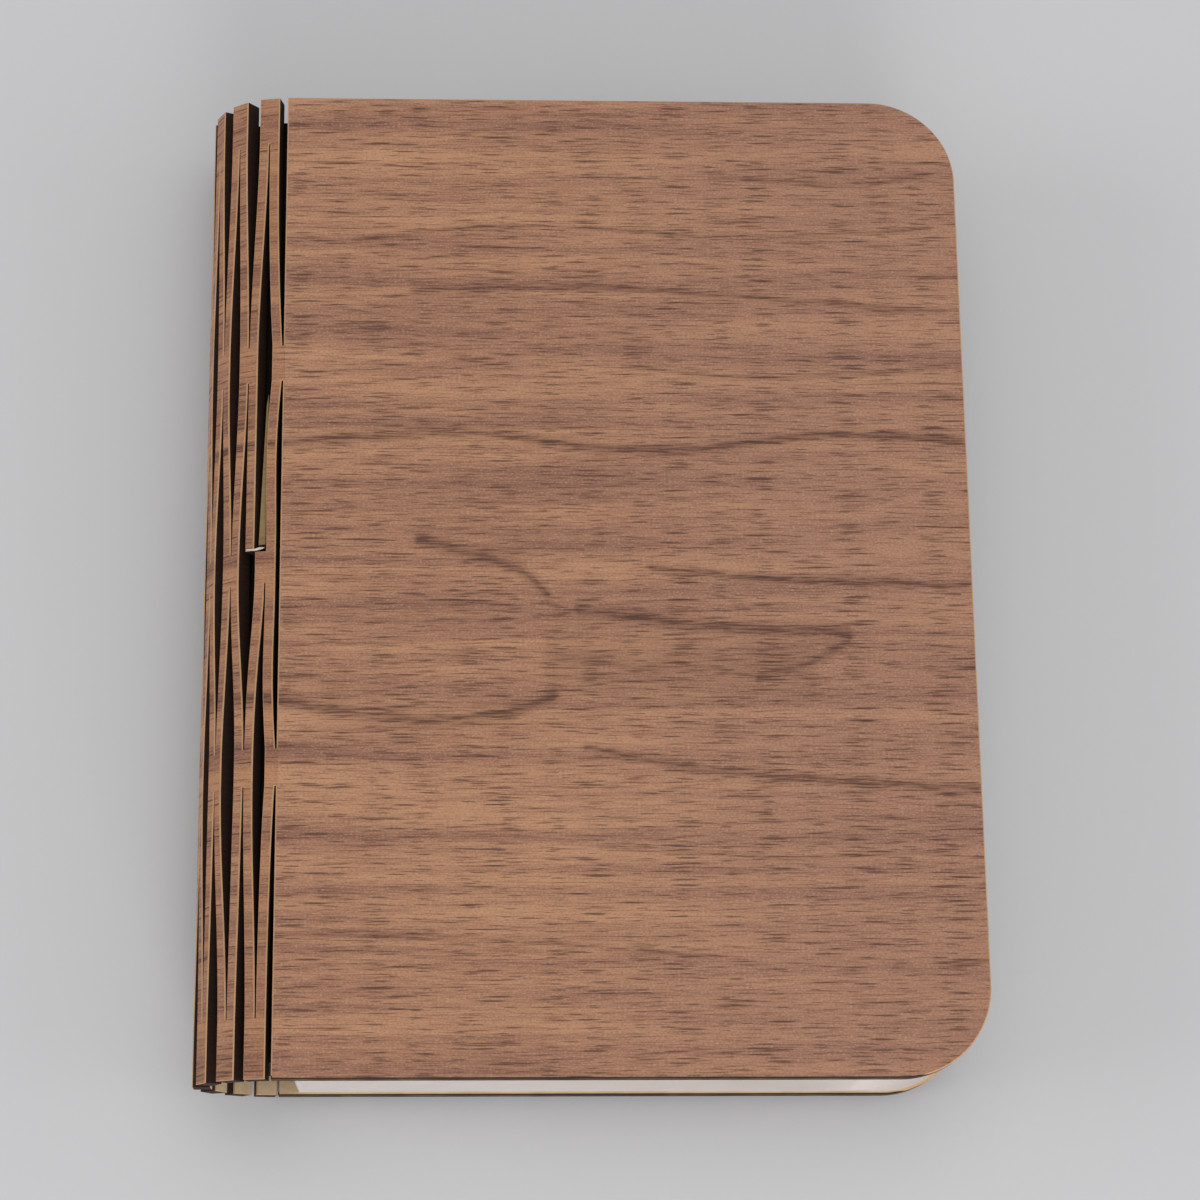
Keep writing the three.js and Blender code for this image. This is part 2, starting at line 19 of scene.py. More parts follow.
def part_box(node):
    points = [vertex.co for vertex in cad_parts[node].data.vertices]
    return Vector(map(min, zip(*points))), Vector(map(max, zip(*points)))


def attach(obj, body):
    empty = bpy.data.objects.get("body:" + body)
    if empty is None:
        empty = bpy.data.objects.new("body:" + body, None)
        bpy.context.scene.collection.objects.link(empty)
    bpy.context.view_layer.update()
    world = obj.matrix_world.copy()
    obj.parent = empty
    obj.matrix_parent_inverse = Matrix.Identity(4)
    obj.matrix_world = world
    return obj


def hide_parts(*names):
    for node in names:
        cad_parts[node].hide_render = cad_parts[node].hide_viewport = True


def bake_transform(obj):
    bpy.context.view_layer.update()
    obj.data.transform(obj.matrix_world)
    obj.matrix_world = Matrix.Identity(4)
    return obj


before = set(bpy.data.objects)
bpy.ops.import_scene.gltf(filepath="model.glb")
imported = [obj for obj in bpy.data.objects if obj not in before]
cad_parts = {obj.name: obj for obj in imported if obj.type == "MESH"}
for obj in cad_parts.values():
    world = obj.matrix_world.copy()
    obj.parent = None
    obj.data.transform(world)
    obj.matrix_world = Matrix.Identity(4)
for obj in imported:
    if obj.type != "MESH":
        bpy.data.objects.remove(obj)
scene = bpy.context.scene
MM = 0.001
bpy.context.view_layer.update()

# %% [markdown]
# ## The camera
#
# The place of the camera was worked out from the corners of the front cover and the bottom
# edge in the photograph. The lens is long, so that the upright edges stay nearly parallel.
# It stands about half a metre away and looks down on the book a little from below its middle.

# %% Camera
PICTURE = 1200
FOCAL_PIXELS = 3000
CAMERA_DISTANCE = 515.69
CAMERA_TILT = math.radians(15.509)
CAMERA_ROLL = math.radians(0.362)
CAMERA_YAW = math.radians(2.086)
CAMERA_OFFSET = (6.809, -1.702)
CAMERA_SHIFT = 0.05

turn_to_camera = (
    Matrix.Rotation(CAMERA_ROLL, 3, "Z")
    @ Matrix.Rotation(-CAMERA_TILT, 3, "X")
    @ Matrix.Rotation(CAMERA_YAW, 3, "Y")
)
camera_data = bpy.data.cameras.new("camera")
camera_data.sensor_width = 36
camera_data.lens = FOCAL_PIXELS / PICTURE * camera_data.sensor_width
camera_data.shift_x = CAMERA_SHIFT
camera_data.clip_start, camera_data.clip_end = 0.01, 20
camera = bpy.data.objects.new("camera", camera_data)
scene.collection.objects.link(camera)
stand = turn_to_camera.transposed() @ Vector((-CAMERA_OFFSET[0], -CAMERA_OFFSET[1], CAMERA_DISTANCE))
camera.matrix_world = Matrix.Translation(stand * MM) @ turn_to_camera.transposed().to_4x4()
scene.camera = camera
print("lens", round(camera_data.lens, 1), "mm, camera at", [round(v, 1) for v in stand], "mm")

# %% [markdown]
# ## Two helpers for nodes
#
# Materials and Geometry Nodes are both made of nodes and links. `wire` adds one node, links or
# fills its inputs in order, and gives the node back. `calc` is the same for a sum, and gives
# back the number. A shader group or a geometry tree starts with `new_group`, which names its
# inputs, so that each material or piece can set its own values.

# %% Node helpers


def fill(tree, socket, value):
    if isinstance(value, bpy.types.NodeSocket):
        tree.links.new(value, socket)
    elif value is not None:
        socket.default_value = value


def wire(tree, kind, *values, **settings):
    node = tree.nodes.new(kind)
    for name, setting in settings.items():
        setattr(node, name, setting)
    for socket, value in zip(node.inputs, values):
        fill(tree, socket, value)
    return node


def calc(tree, operation, *values):
    return wire(tree, "ShaderNodeMath", *values, operation=operation).outputs[0]


def new_group(name, kind, inputs, outputs):
    tree = bpy.data.node_groups.new(name, kind)
    for label, socket, value in inputs:
        made = tree.interface.new_socket(label, in_out="INPUT", socket_type=socket)
        if value is not None:
            made.default_value = value
    for label, socket in outputs:
        tree.interface.new_socket(label, in_out="OUTPUT", socket_type=socket)
    start = tree.nodes.new("NodeGroupInput")
    end = tree.nodes.new("NodeGroupOutput")
    return tree, start.outputs, end.inputs


def use_group(tree, group, **values):
    node = tree.nodes.new("ShaderNodeGroup")
    node.node_tree = group
    for name, value in values.items():
        fill(tree, node.inputs[name.replace("_", " ")], value)
    return node.outputs


MIX_SOCKETS = {"RGBA": (6, 7, 2), "VECTOR": (4, 5, 1), "FLOAT": (2, 3, 0)}


def mix(tree, kind, factor, first, second, blend="MIX"):
    node = tree.nodes.new("ShaderNodeMix")
    node.data_type = kind
    if kind == "RGBA":
        node.blend_type = blend
    low, high, out = MIX_SOCKETS[kind]
    fill(tree, node.inputs[0], factor)
    fill(tree, node.inputs[low], first)
    fill(tree, node.inputs[high], second)
    return node.outputs[out]


def mix_color(tree, factor, first, second, blend="MIX"):
    return mix(tree, "RGBA", factor, first, second, blend)


def ramp(tree, factor, *stops):
    """A colour or grey ramp: each stop is a place from 0 to 1 and a colour or a grey."""
    node = wire(tree, "ShaderNodeValToRGB", factor)
    bar = node.color_ramp
    while len(bar.elements) < len(stops):
        bar.elements.new(0.5)
    for element, (place, shade) in zip(bar.elements, stops):
        element.position = place
        element.color = shade if len(shade) == 4 else (*shade, 1)
    return node.outputs["Color"]


def smooth_step(tree, value, low, high, first=0.0, last=1.0):
    node = wire(tree, "ShaderNodeMapRange", value, low, high, first, last)
    node.interpolation_type = "SMOOTHSTEP"
    return node.outputs["Result"]


def linear(red, green, blue):
    """A colour as the eye names it, from 0 to 255, turned into the linear light of a shader."""
    shades = [value / 255 for value in (red, green, blue)]
    return (*[c / 12.92 if c < 0.04045 else ((c + 0.055) / 1.055) ** 2.4 for c in shades], 1)


print("node helpers ready")

# %% [markdown]
# ## Walnut face
#
# The covers wear a walnut face with the grain running across the book: warm mid-brown with soft
# light and dark bands, wavy plum-brown streaks, many short dark pores, and one flame-shaped
# figure in the middle. Noise that is stretched along the grain gives fibres and bands, but no
# noise puts a flame or a long wavy streak where the eye expects it. So a few main streaks are
# placed one by one, with a width and a depth of colour for each, and curve nodes turn them into a
# mask. Noise makes all the others. The group works on the flat sheet before it was cut, so that
# the grain runs on from the cover across the spine.

# %% Main streaks
# Width in mm, depth of colour, and a few points in whole mm, their places estimated from
# the photograph. The streaks run from the head of the book down.
MAIN_STREAKS = [
    (0.7, 0.7, [(20, 69), (45, 68), (60, 70)]),
    (0.7, 0.7, [(-40, 57), (-10, 60), (25, 58), (60, 60)]),
    (0.8, 0.8, [(-30, 48), (0, 49), (30, 47), (62, 45)]),
    (0.7, 0.7, [(5, 35), (30, 33), (62, 35)]),
    (1.0, 0.9, [(-64, 20), (-20, 23), (10, 20), (40, 23), (64, 22)]),
    (1.2, 0.9, [(-29, 5), (-12, 0), (-5, -6)]),
    (0.8, 0.9, [(9, 0), (34, -2), (64, -3)]),
    (1.5, 0.9, [(-3, -7), (21, -10), (44, -11)]),
    (1.3, 0.9, [(26, -19), (36, -16), (44, -11)]),
    (1.4, 0.9, [(-64, -20), (-34, -25), (-16, -25), (-4, -21)]),
    (0.9, 0.8, [(-2, -30), (21, -34), (64, -37)]),
    (0.6, 0.7, [(0, -46), (30, -48), (60, -47)]),
    (0.7, 0.7, [(-64, -60), (-20, -61), (21, -64)]),
]
# Wide and faint: the darker wood inside the flame.
FLAME_SHADES = [
    (7.0, 0.6, [(-8, -15), (16, -17), (38, -16)]),
    (5.0, 0.3, [(-45, -22), (-20, -25), (4, -26)]),
]
print("main streaks:", len(MAIN_STREAKS), "shades:", len(FLAME_SHADES))

# %% Helpers for the grain


def streaks(tree, sheet, along, across, detail, roughness, seed):
    """Noise in the sheet's millimetres, stretched: its cells are along by across in size."""
    shares = (1 / along, 1 / across, 1 / along)
    stretch = wire(tree, "ShaderNodeMapping", sheet, (seed, seed * 1.7, 0), None, shares)
    noise = wire(tree, "ShaderNodeTexNoise", stretch.outputs[0], None, 1.0, detail, roughness)
    return noise.outputs[0]


def grain(tree, sheet, along, across, detail, roughness, seed):
    """The same, but blind to depth, so that a cut strip carries on the pattern of its cover."""
    stretch = wire(tree, "ShaderNodeMapping", sheet, (seed, seed * 1.7, 0), None, (1 / along, 1 / across, 0))
    noise = tree.nodes.new("ShaderNodeTexNoise")
    noise.noise_dimensions = "2D"
    values = {"Vector": stretch.outputs[0], "Scale": 1.0, "Detail": detail, "Roughness": roughness}
    for label, value in values.items():
        fill(tree, noise.inputs[label], value)
    return noise.outputs[0]


def centred(tree, value, reach):
    """Noise from 0 to 1 turned into an offset of up to half the reach either way."""
    return calc(tree, "MULTIPLY", calc(tree, "SUBTRACT", value, 0.5), reach)


def set_curve(curve, pairs):
    """Puts straight-lined points on one curve of a curve node."""
    pairs = sorted(pairs)
    curve.points[0].location, curve.points[1].location = pairs[0], pairs[-1]
    for pair in pairs[1:-1]:
        curve.points.new(*pair)
    for point in curve.points:
        point.handle_type = "VECTOR"


def three_curves(tree, place, first, second, third):
    """One curve node that reads a place from 0 to 1 and gives three numbers."""
    node = wire(tree, "ShaderNodeRGBCurve", None, place)
    node.mapping.extend = "HORIZONTAL"
    for curve, pairs in zip(node.mapping.curves, (first, second, third)):
        set_curve(curve, pairs)
    node.mapping.update()
    return wire(tree, "ShaderNodeSeparateColor", node.outputs[0]).outputs


SHEET_START, SHEET_LENGTH = -70.0, 135.0
SHEET_FOOT, SHEET_HEIGHT = -84.0, 168.0
WIDEST_STREAK = 16.0
HALO = 1.9
ROW_GAP = 1.0
TAPER = 1.4


def streak_rows(table):
    """Packs the streaks into as few rows as their lengths allow: a row needs one curve node."""
    rows = []
    for streak in sorted(table, key=lambda s: s[2][0][0]):
        for row in rows:
            if row[-1][2][-1][0] + ROW_GAP < streak[2][0][0]:
                row.append(streak)
                break
        else:
            rows.append([streak])
    return rows


def rounded_line(points, parts=4):
    """The same line with its corners rounded: a smooth curve through the points."""
    line = []
    for i in range(len(points) - 1):
        before, here, there, after = (points[max(0, min(len(points) - 1, i + k))] for k in (-1, 0, 1, 2))
        run = there[0] - here[0]
        slope_here = (there[1] - before[1]) / (there[0] - before[0]) * run
        slope_there = (after[1] - here[1]) / (after[0] - here[0]) * run
        for part in range(parts):
            t = part / parts
            rise = (2 * t**3 - 3 * t**2 + 1) * here[1] + (t**3 - 2 * t**2 + t) * slope_here
            rise += (3 * t**2 - 2 * t**3) * there[1] + (t**3 - t**2) * slope_there
            line.append((here[0] + run * t, rise))
    return line + [points[-1]]


def row_curves(row):
    """Height, width and depth along one row. The depth is nothing between streaks."""
    heights, widths, depths = [], [], []
    for width, depth, points in row:
        begin, finish = points[0][0], points[-1][0]
        taper = min(TAPER, (finish - begin) / 3)
        for x, y in rounded_line(points):
            heights.append(((x - SHEET_START) / SHEET_LENGTH, (y - SHEET_FOOT) / SHEET_HEIGHT))
        for x in (begin, finish):
            widths.append(((x - SHEET_START) / SHEET_LENGTH, width * HALO / WIDEST_STREAK))
        for x, value in ((begin, 0), (begin + taper, depth), (finish - taper, depth), (finish, 0)):
            depths.append(((x - SHEET_START) / SHEET_LENGTH, value))
    return heights, widths, depths


print("rows of streaks:", len(streak_rows(MAIN_STREAKS + FLAME_SHADES)))

# %% Mask of the main streaks


def streak_mask(tree, along, height):
    """How deep in a main streak a place is, from 0 to 1. Both inputs are in millimetres."""
    share = calc(tree, "DIVIDE", calc(tree, "SUBTRACT", along, SHEET_START), SHEET_LENGTH)
    level = calc(tree, "DIVIDE", calc(tree, "SUBTRACT", height, SHEET_FOOT), SHEET_HEIGHT)
    deepest = None
    for row in streak_rows(MAIN_STREAKS + FLAME_SHADES):
        line, width, depth = three_curves(tree, share, *row_curves(row))[:3]
        away = calc(tree, "ABSOLUTE", calc(tree, "SUBTRACT", level, line))
        away = calc(tree, "DIVIDE", calc(tree, "MULTIPLY", away, SHEET_HEIGHT / WIDEST_STREAK), width)
        here = calc(tree, "SUBTRACT", depth, away)
        deepest = here if deepest is None else calc(tree, "MAXIMUM", deepest, here)
    return calc(tree, "MAXIMUM", deepest, 0.0)


def pore_dashes(tree, sheet, along, across, radius, seed, share):
    """Short thin dashes along the grain: at most one in each cell of the sheet, and none in many."""
    cells = wire(tree, "ShaderNodeMapping", sheet, (seed, seed * 1.3, 0), None, (1 / along, 1 / across, 0))
    spots = tree.nodes.new("ShaderNodeTexVoronoi")
    spots.voronoi_dimensions = "2D"
    fill(tree, spots.inputs["Vector"], cells.outputs[0])
    fill(tree, spots.inputs["Scale"], 1.0)
    chance = wire(tree, "ShaderNodeSeparateColor", spots.outputs["Color"]).outputs[0]
    size = smooth_step(tree, calc(tree, "ADD", chance, share), 0.95, 1.5, 0.0, radius)
    return smooth_step(tree, spots.outputs["Distance"], calc(tree, "MULTIPLY", size, 0.45), size, 1.0, 0.0)


print("streak mask ready")

# %% Walnut group
WALNUT_GOLD = linear(190, 139, 103)
WALNUT_MID = linear(167, 118, 90)
WALNUT_RED = linear(143, 97, 77)
WALNUT_PINK = linear(160, 116, 97)
WALNUT_PLUM = linear(103, 62, 45)
WALNUT_PORE = linear(70, 36, 23)
WALNUT_SPECK = linear(196, 164, 142)
WALNUT_FLECK = linear(120, 84, 66)


def walnut_group():
    tree, given, result = new_group(
        "walnut face",
        "ShaderNodeTree",
        [("Sheet", "NodeSocketVector", None), ("Pores", "NodeSocketFloat", 1.0)],
        [("Color", "NodeSocketColor"), ("Roughness", "NodeSocketFloat"), ("Height", "NodeSocketFloat")],
    )
    sheet = given["Sheet"]
    x, y, _z = wire(tree, "ShaderNodeSeparateXYZ", sheet).outputs
    fibres = grain(tree, sheet, 4.5, 0.22, 3, 0.6, 51.3)
    rightward = smooth_step(tree, x, -20.0, 42.0)
    tone = calc(tree, "ADD", 0.55, centred(tree, grain(tree, sheet, 110, 4.5, 2, 0.55, 33.7), 1.6))
    tone = calc(tree, "ADD", tone, centred(tree, grain(tree, sheet, 30, 1.7, 4, 0.62, 12.3), 1.05))
    tone = calc(tree, "ADD", tone, centred(tree, fibres, 0.9))
    color = ramp(tree, tone, (0.1, WALNUT_RED), (0.5, WALNUT_MID), (0.95, WALNUT_GOLD))
    color = mix_color(tree, calc(tree, "MULTIPLY", rightward, 0.4), color, WALNUT_PINK)
    speck = grain(tree, sheet, 0.45, 0.3, 2, 0.6, 61.9)
    color = mix_color(tree, smooth_step(tree, speck, 0.5, 0.78, 0.0, 0.45), color, WALNUT_SPECK)
    color = mix_color(tree, smooth_step(tree, speck, 0.5, 0.25, 0.0, 0.35), color, WALNUT_FLECK)
    ripple = calc(tree, "ADD", y, centred(tree, grain(tree, sheet, 12, 1.6, 2, 0.5, 71.2), 1.0))
    ripple = calc(tree, "ADD", ripple, centred(tree, fibres, 1.5))
    drawn = streak_mask(tree, x, ripple)
    lesser = grain(tree, sheet, 20, 0.8, 3, 0.6, 27.4)
    drawn = calc(tree, "MAXIMUM", drawn, smooth_step(tree, lesser, 0.58, 0.74, 0.0, 0.75))
    color = mix_color(tree, smooth_step(tree, drawn, 0.0, 0.5, 0.0, 0.2), color, WALNUT_PLUM)
    core = smooth_step(tree, drawn, 0.42, 0.85)
    color = mix_color(tree, calc(tree, "MULTIPLY", core, 0.36), color, WALNUT_PLUM)
    threads = grain(tree, sheet, 7, 0.3, 3, 0.62, 31.3)
    gather = calc(tree, "SUBTRACT", 0.6, tone)
    thickness = calc(tree, "MULTIPLY_ADD", drawn, 0.07, threads)
    thickness = calc(tree, "MULTIPLY_ADD", core, 0.1, thickness)
    thickness = calc(tree, "MULTIPLY_ADD", gather, 0.06, thickness)
    color = mix_color(tree, smooth_step(tree, thickness, 0.5, 0.66, 0.0, 0.42), color, WALNUT_PLUM)
    color = mix_color(tree, smooth_step(tree, thickness, 0.63, 0.74, 0.0, 0.7), color, WALNUT_PORE)
    crowd = calc(tree, "MULTIPLY_ADD", tone, -0.3, 0.75)
    crowd = calc(tree, "MULTIPLY_ADD", drawn, 0.25, crowd)
    long_pores = pore_dashes(tree, sheet, 15, 1.0, 0.2, 17.9, crowd)
    short_pores = pore_dashes(tree, sheet, 7, 0.62, 0.24, 43.7, crowd)
    long_pores = calc(tree, "MULTIPLY", long_pores, 0.75)
    pores = calc(tree, "MAXIMUM", long_pores, calc(tree, "MULTIPLY", short_pores, 0.6))
    pores = calc(tree, "MULTIPLY", pores, given["Pores"])
    color = mix_color(tree, pores, color, WALNUT_PORE)
    fill(tree, result["Color"], color)
    fill(tree, result["Roughness"], smooth_step(tree, threads, 0.3, 0.8, 0.52, 0.66))
    relief = calc(tree, "MULTIPLY", threads, -0.8)
    fill(tree, result["Height"], calc(tree, "MULTIPLY_ADD", fibres, 0.5, relief))
    return tree


WALNUT = walnut_group()
print("walnut group with", len(WALNUT.nodes), "nodes")

# %% [markdown]
# ## Materials of the book
#
# The cover's face takes the walnut group on Object coordinates, so the pattern stays on the
# board when it swings. The spine's pieces bend, so they carry their place on the flat sheet in
# an attribute, `sheet`, and read that. Under the face is the board's core: tan wood fibre where
# it is planed, and burnt dark brown where the laser went through it. The beam leaves a thin
# light line along the edge of the face, which the bevel gets as its own material.

# %% Materials of the book


def new_material(name, color, roughness, metallic=0.0):
    """A material with a Principled shader, ready for its nodes: gives the material and its tree."""
    made = bpy.data.materials.new(name)
    made.use_nodes = True
    tree = made.node_tree
    skin = tree.nodes["Principled BSDF"]
    skin.inputs["Base Color"].default_value = color
    skin.inputs["Roughness"].default_value = roughness
    skin.inputs["Metallic"].default_value = metallic
    made.diffuse_color = color
    return made, tree, skin


def millimetres(tree, vector):
    return wire(tree, "ShaderNodeVectorMath", vector, (1000, 1000, 1000), operation="MULTIPLY").outputs[0]


def object_place(tree):
    """Object coordinates in millimetres."""
    return millimetres(tree, tree.nodes.new("ShaderNodeTexCoord").outputs["Object"])


def sheet_place(tree):
    """The place on the flat sheet that a bent piece carries, in millimetres."""
    source = wire(tree, "ShaderNodeAttribute", attribute_name="sheet")
    return millimetres(tree, source.outputs["Vector"])


def bump(tree, skin, height, distance, strength=1.0):
    node = wire(tree, "ShaderNodeBump", strength, distance)
    fill(tree, node.inputs["Height"], height)
    tree.links.new(node.outputs[0], skin.inputs["Normal"])
    return node


def walnut_material(name, place, tone):
    """tone multiplies the face's colour, deepening it a little: white leaves it as it is. A tone below white
    is painted shade.
    """
    made, tree, skin = new_material(name, WALNUT_MID, 0.55)
    face = use_group(tree, WALNUT, Sheet=place(tree), Pores=1.0)
    fill(tree, skin.inputs["Base Color"], mix_color(tree, 1.0, face["Color"], tone, "MULTIPLY"))
    fill(tree, skin.inputs["Roughness"], face["Roughness"])
    skin.inputs["Specular IOR Level"].default_value = 0.42
    skin.inputs["Sheen Weight"].default_value = 0.18
    skin.inputs["Sheen Roughness"].default_value = 0.3
    skin.inputs["Sheen Tint"].default_value = linear(250, 236, 232)
    bump(tree, skin, face["Height"], 0.00004, 0.5)
    return made


def core_group():
    """Wood fibre board: fine fibres in a tan ground, darkened by a mask: the laser's scorch on cut edges, and
    painted shade on the cover's rim at the foot.
    """
    tree, given, result = new_group(
        "board core",
        "ShaderNodeTree",
        [
            ("Place", "NodeSocketVector", None),
            ("Burn", "NodeSocketFloat", 0.0),
            ("Deep", "NodeSocketColor", linear(164, 134, 101)),
            ("Light", "NodeSocketColor", linear(197, 169, 134)),
        ],
        [("Color", "NodeSocketColor"), ("Height", "NodeSocketFloat")],
    )
    fibres = streaks(tree, given["Place"], 1.6, 0.35, 4, 0.65, 4.4)
    cloud = streaks(tree, given["Place"], 6, 6, 3, 0.6, 9.2)
    color = mix_color(tree, fibres, given["Deep"], given["Light"])
    color = mix_color(tree, smooth_step(tree, cloud, 0.4, 0.75, 0.0, 0.35), color, linear(150, 118, 88))
    smoke = calc(tree, "MULTIPLY", calc(tree, "SUBTRACT", cloud, 0.5), 0.35)
    soot_and_shade = smooth_step(tree, calc(tree, "ADD", given["Burn"], smoke), 0.25, 0.8)
    color = mix_color(tree, soot_and_shade, color, mix_color(tree, fibres, linear(22, 14, 11), linear(62, 40, 29)))
    fill(tree, result["Color"], color)
    fill(tree, result["Height"], fibres)
    return tree


CORE = core_group()


def core_material(name, place, burn_and_shade, tints=(), roughness=0.8):
    """burn_and_shade is a number, or a function that makes one out of the tree and the place. It darkens the
    core: the laser's scorch, and on the cover's rim at the foot painted shade.
    """
    made, tree, skin = new_material(name, linear(181, 152, 119), roughness)
    here = place(tree)
    core = use_group(tree, CORE, Place=here, Burn=burn_and_shade(tree, here) if callable(burn_and_shade) else burn_and_shade, **dict(tints))
    fill(tree, skin.inputs["Base Color"], core["Color"])
    skin.inputs["Specular IOR Level"].default_value = 0.2
    bump(tree, skin, core["Height"], 0.00005, 0.6)
    return made


def painted_shade_at_foot(tree, place):
    """The cover's rim is light all round but for the foot, which is darkened: painted shade along the book's
    foot.
    """
    _x, y, _z = wire(tree, "ShaderNodeSeparateXYZ", place).outputs
    return smooth_step(tree, y, -82.2, -82.7, 0.08, 0.8)


RIM_TINTS = {"Deep": linear(178, 134, 98), "Light": linear(216, 176, 134)}
INSIDE_TINTS = {"Deep": linear(206, 174, 136), "Light": linear(234, 208, 170)}
COVER_FACE = walnut_material("walnut cover face", object_place, linear(255, 255, 252))
# The spine's darker tone is painted shade: its tilted strips catch less light than the flat cover.
STRIP_FACE = walnut_material("walnut spine face", sheet_place, linear(244, 238, 228))
COVER_INSIDE = core_material("board inner face", object_place, 0.0, INSIDE_TINTS)
STRIP_INSIDE = core_material("spine inner face", sheet_place, 0.08, INSIDE_TINTS)
COVER_CUT = core_material("burnt board edge", object_place, 0.7)
STRIP_CUT = core_material("burnt spine cut", sheet_place, 0.95)
# The darker rim at the foot is painted shade.
COVER_RIM = core_material("light board rim", object_place, painted_shade_at_foot, RIM_TINTS)
STRIP_RIM = core_material("light spine rim", sheet_place, 0.1, RIM_TINTS)
BOARD_MATERIALS = (COVER_FACE, COVER_CUT, COVER_INSIDE, COVER_RIM)
SPINE_MATERIALS = (STRIP_FACE, STRIP_CUT, STRIP_INSIDE, STRIP_RIM)
FACE, CUT, INSIDE, RIM = range(4)
print("book materials:", ", ".join(m.name for m in BOARD_MATERIALS + SPINE_MATERIALS))

# %% [markdown]
# ## The cut sheet
#
# Cover, spine and cover are one sheet of 3 mm board. Before it is rolled, each stretch of the
# spine is a flat plan: two strips with a slit between them, and bridges where the laser
# stopped. A plan is a grid of rows and columns with some cells left out. Each cell that is
# there gets a top, a bottom and, where its neighbour is missing, a burnt wall. The rim between
# face and wall is bevelled, and the bevel's light material is the thin line that the beam leaves.

# %% Sizes of the cut sheet
BOOK_HEIGHT = 166
BOOK_THICKNESS = 26.5
BOARD_WIDTH = 113.5
BOARD_THICKNESS = 3
CORNER_RADIUS = 14.5
LINKS = 7
STRIP_WIDTH = 1.6
SLIT = 0.2
COVER_SLIT = 0.25
RIM_WIDTH = 0.19
LINK_ARC = math.pi / LINKS
PIVOT_RADIUS = (BOOK_THICKNESS - BOARD_THICKNESS) / 2
LINK_RADIUS = PIVOT_RADIUS * math.cos(LINK_ARC / 2)
HINGE_X = LINK_RADIUS + BOARD_THICKNESS / 2 - (LINK_RADIUS + BOARD_THICKNESS / 2 + BOARD_WIDTH) / 2
FORE_EDGE_X = HINGE_X + BOARD_WIDTH
MIDDLE_Z = BOOK_THICKNESS / 2
HALF = BOOK_HEIGHT / 2
PAIR = SLIT / 2 + STRIP_WIDTH
SHEET_STEP = 2 * (PAIR + SLIT / 2)
LOWER_BRIDGE = (-36.5, -30.4)
UPPER_BRIDGE = (32.0, 38.2)
MIDDLE_BRIDGE = (-2.65, 2.65)
LOWER_END = -HALF + 9.5
UPPER_END = HALF - 8.3
BREAK = 0.22
LAP = RIM_WIDTH + 0.02
# WEAK_RIM narrows the light rim on walls that do not face +x. The light line is therefore wider on one side
# of each strip, and that extra width is a painted highlight.
WEAK_RIM = 0.4
print("hinge line at x =", round(HINGE_X, 3), "mm; flat step of a link", round(SHEET_STEP, 2), "mm")

# %% Plan of one stretch of the spine


def between(value, span):
    return span[0] <= value <= span[1]


def spread(low, high, count):
    return [low + (high - low) * i / count for i in range(count + 1)]


def opening_rows():
    """The heights of the plan's rows: close together where the strips curve."""
    rows = [-HALF, *spread(LOWER_END, LOWER_BRIDGE[0], 12), *spread(LOWER_BRIDGE[1], MIDDLE_BRIDGE[0], 10)]
    rows += [MIDDLE_BRIDGE[1], *spread(MIDDLE_BRIDGE[1] + BREAK, UPPER_BRIDGE[0], 10)]
    return rows + [*spread(UPPER_BRIDGE[1], UPPER_END, 12), HALF]


def pairing(y, power):
    """1 where a strip lies beside its neighbour of the next link, 0 where it lies beside its twin."""
    if y <= LOWER_END or y >= UPPER_END or between(y, MIDDLE_BRIDGE):
        return 0.0
    if between(y, LOWER_BRIDGE) or between(y, UPPER_BRIDGE):
        return 1.0
    if y < LOWER_BRIDGE[0]:
        t = (y - LOWER_END) / (LOWER_BRIDGE[0] - LOWER_END)
    elif y < 0:
        t = (MIDDLE_BRIDGE[0] - y) / (MIDDLE_BRIDGE[0] - LOWER_BRIDGE[1])
    elif y < UPPER_BRIDGE[0]:
        t = (y - MIDDLE_BRIDGE[1]) / (UPPER_BRIDGE[0] - MIDDLE_BRIDGE[1])
    else:
        t = (UPPER_END - y) / (UPPER_END - UPPER_BRIDGE[1])
    if power > 1:
        return t**power
    return 0.7 * t * t * (3 - 2 * t) + 0.3 * t


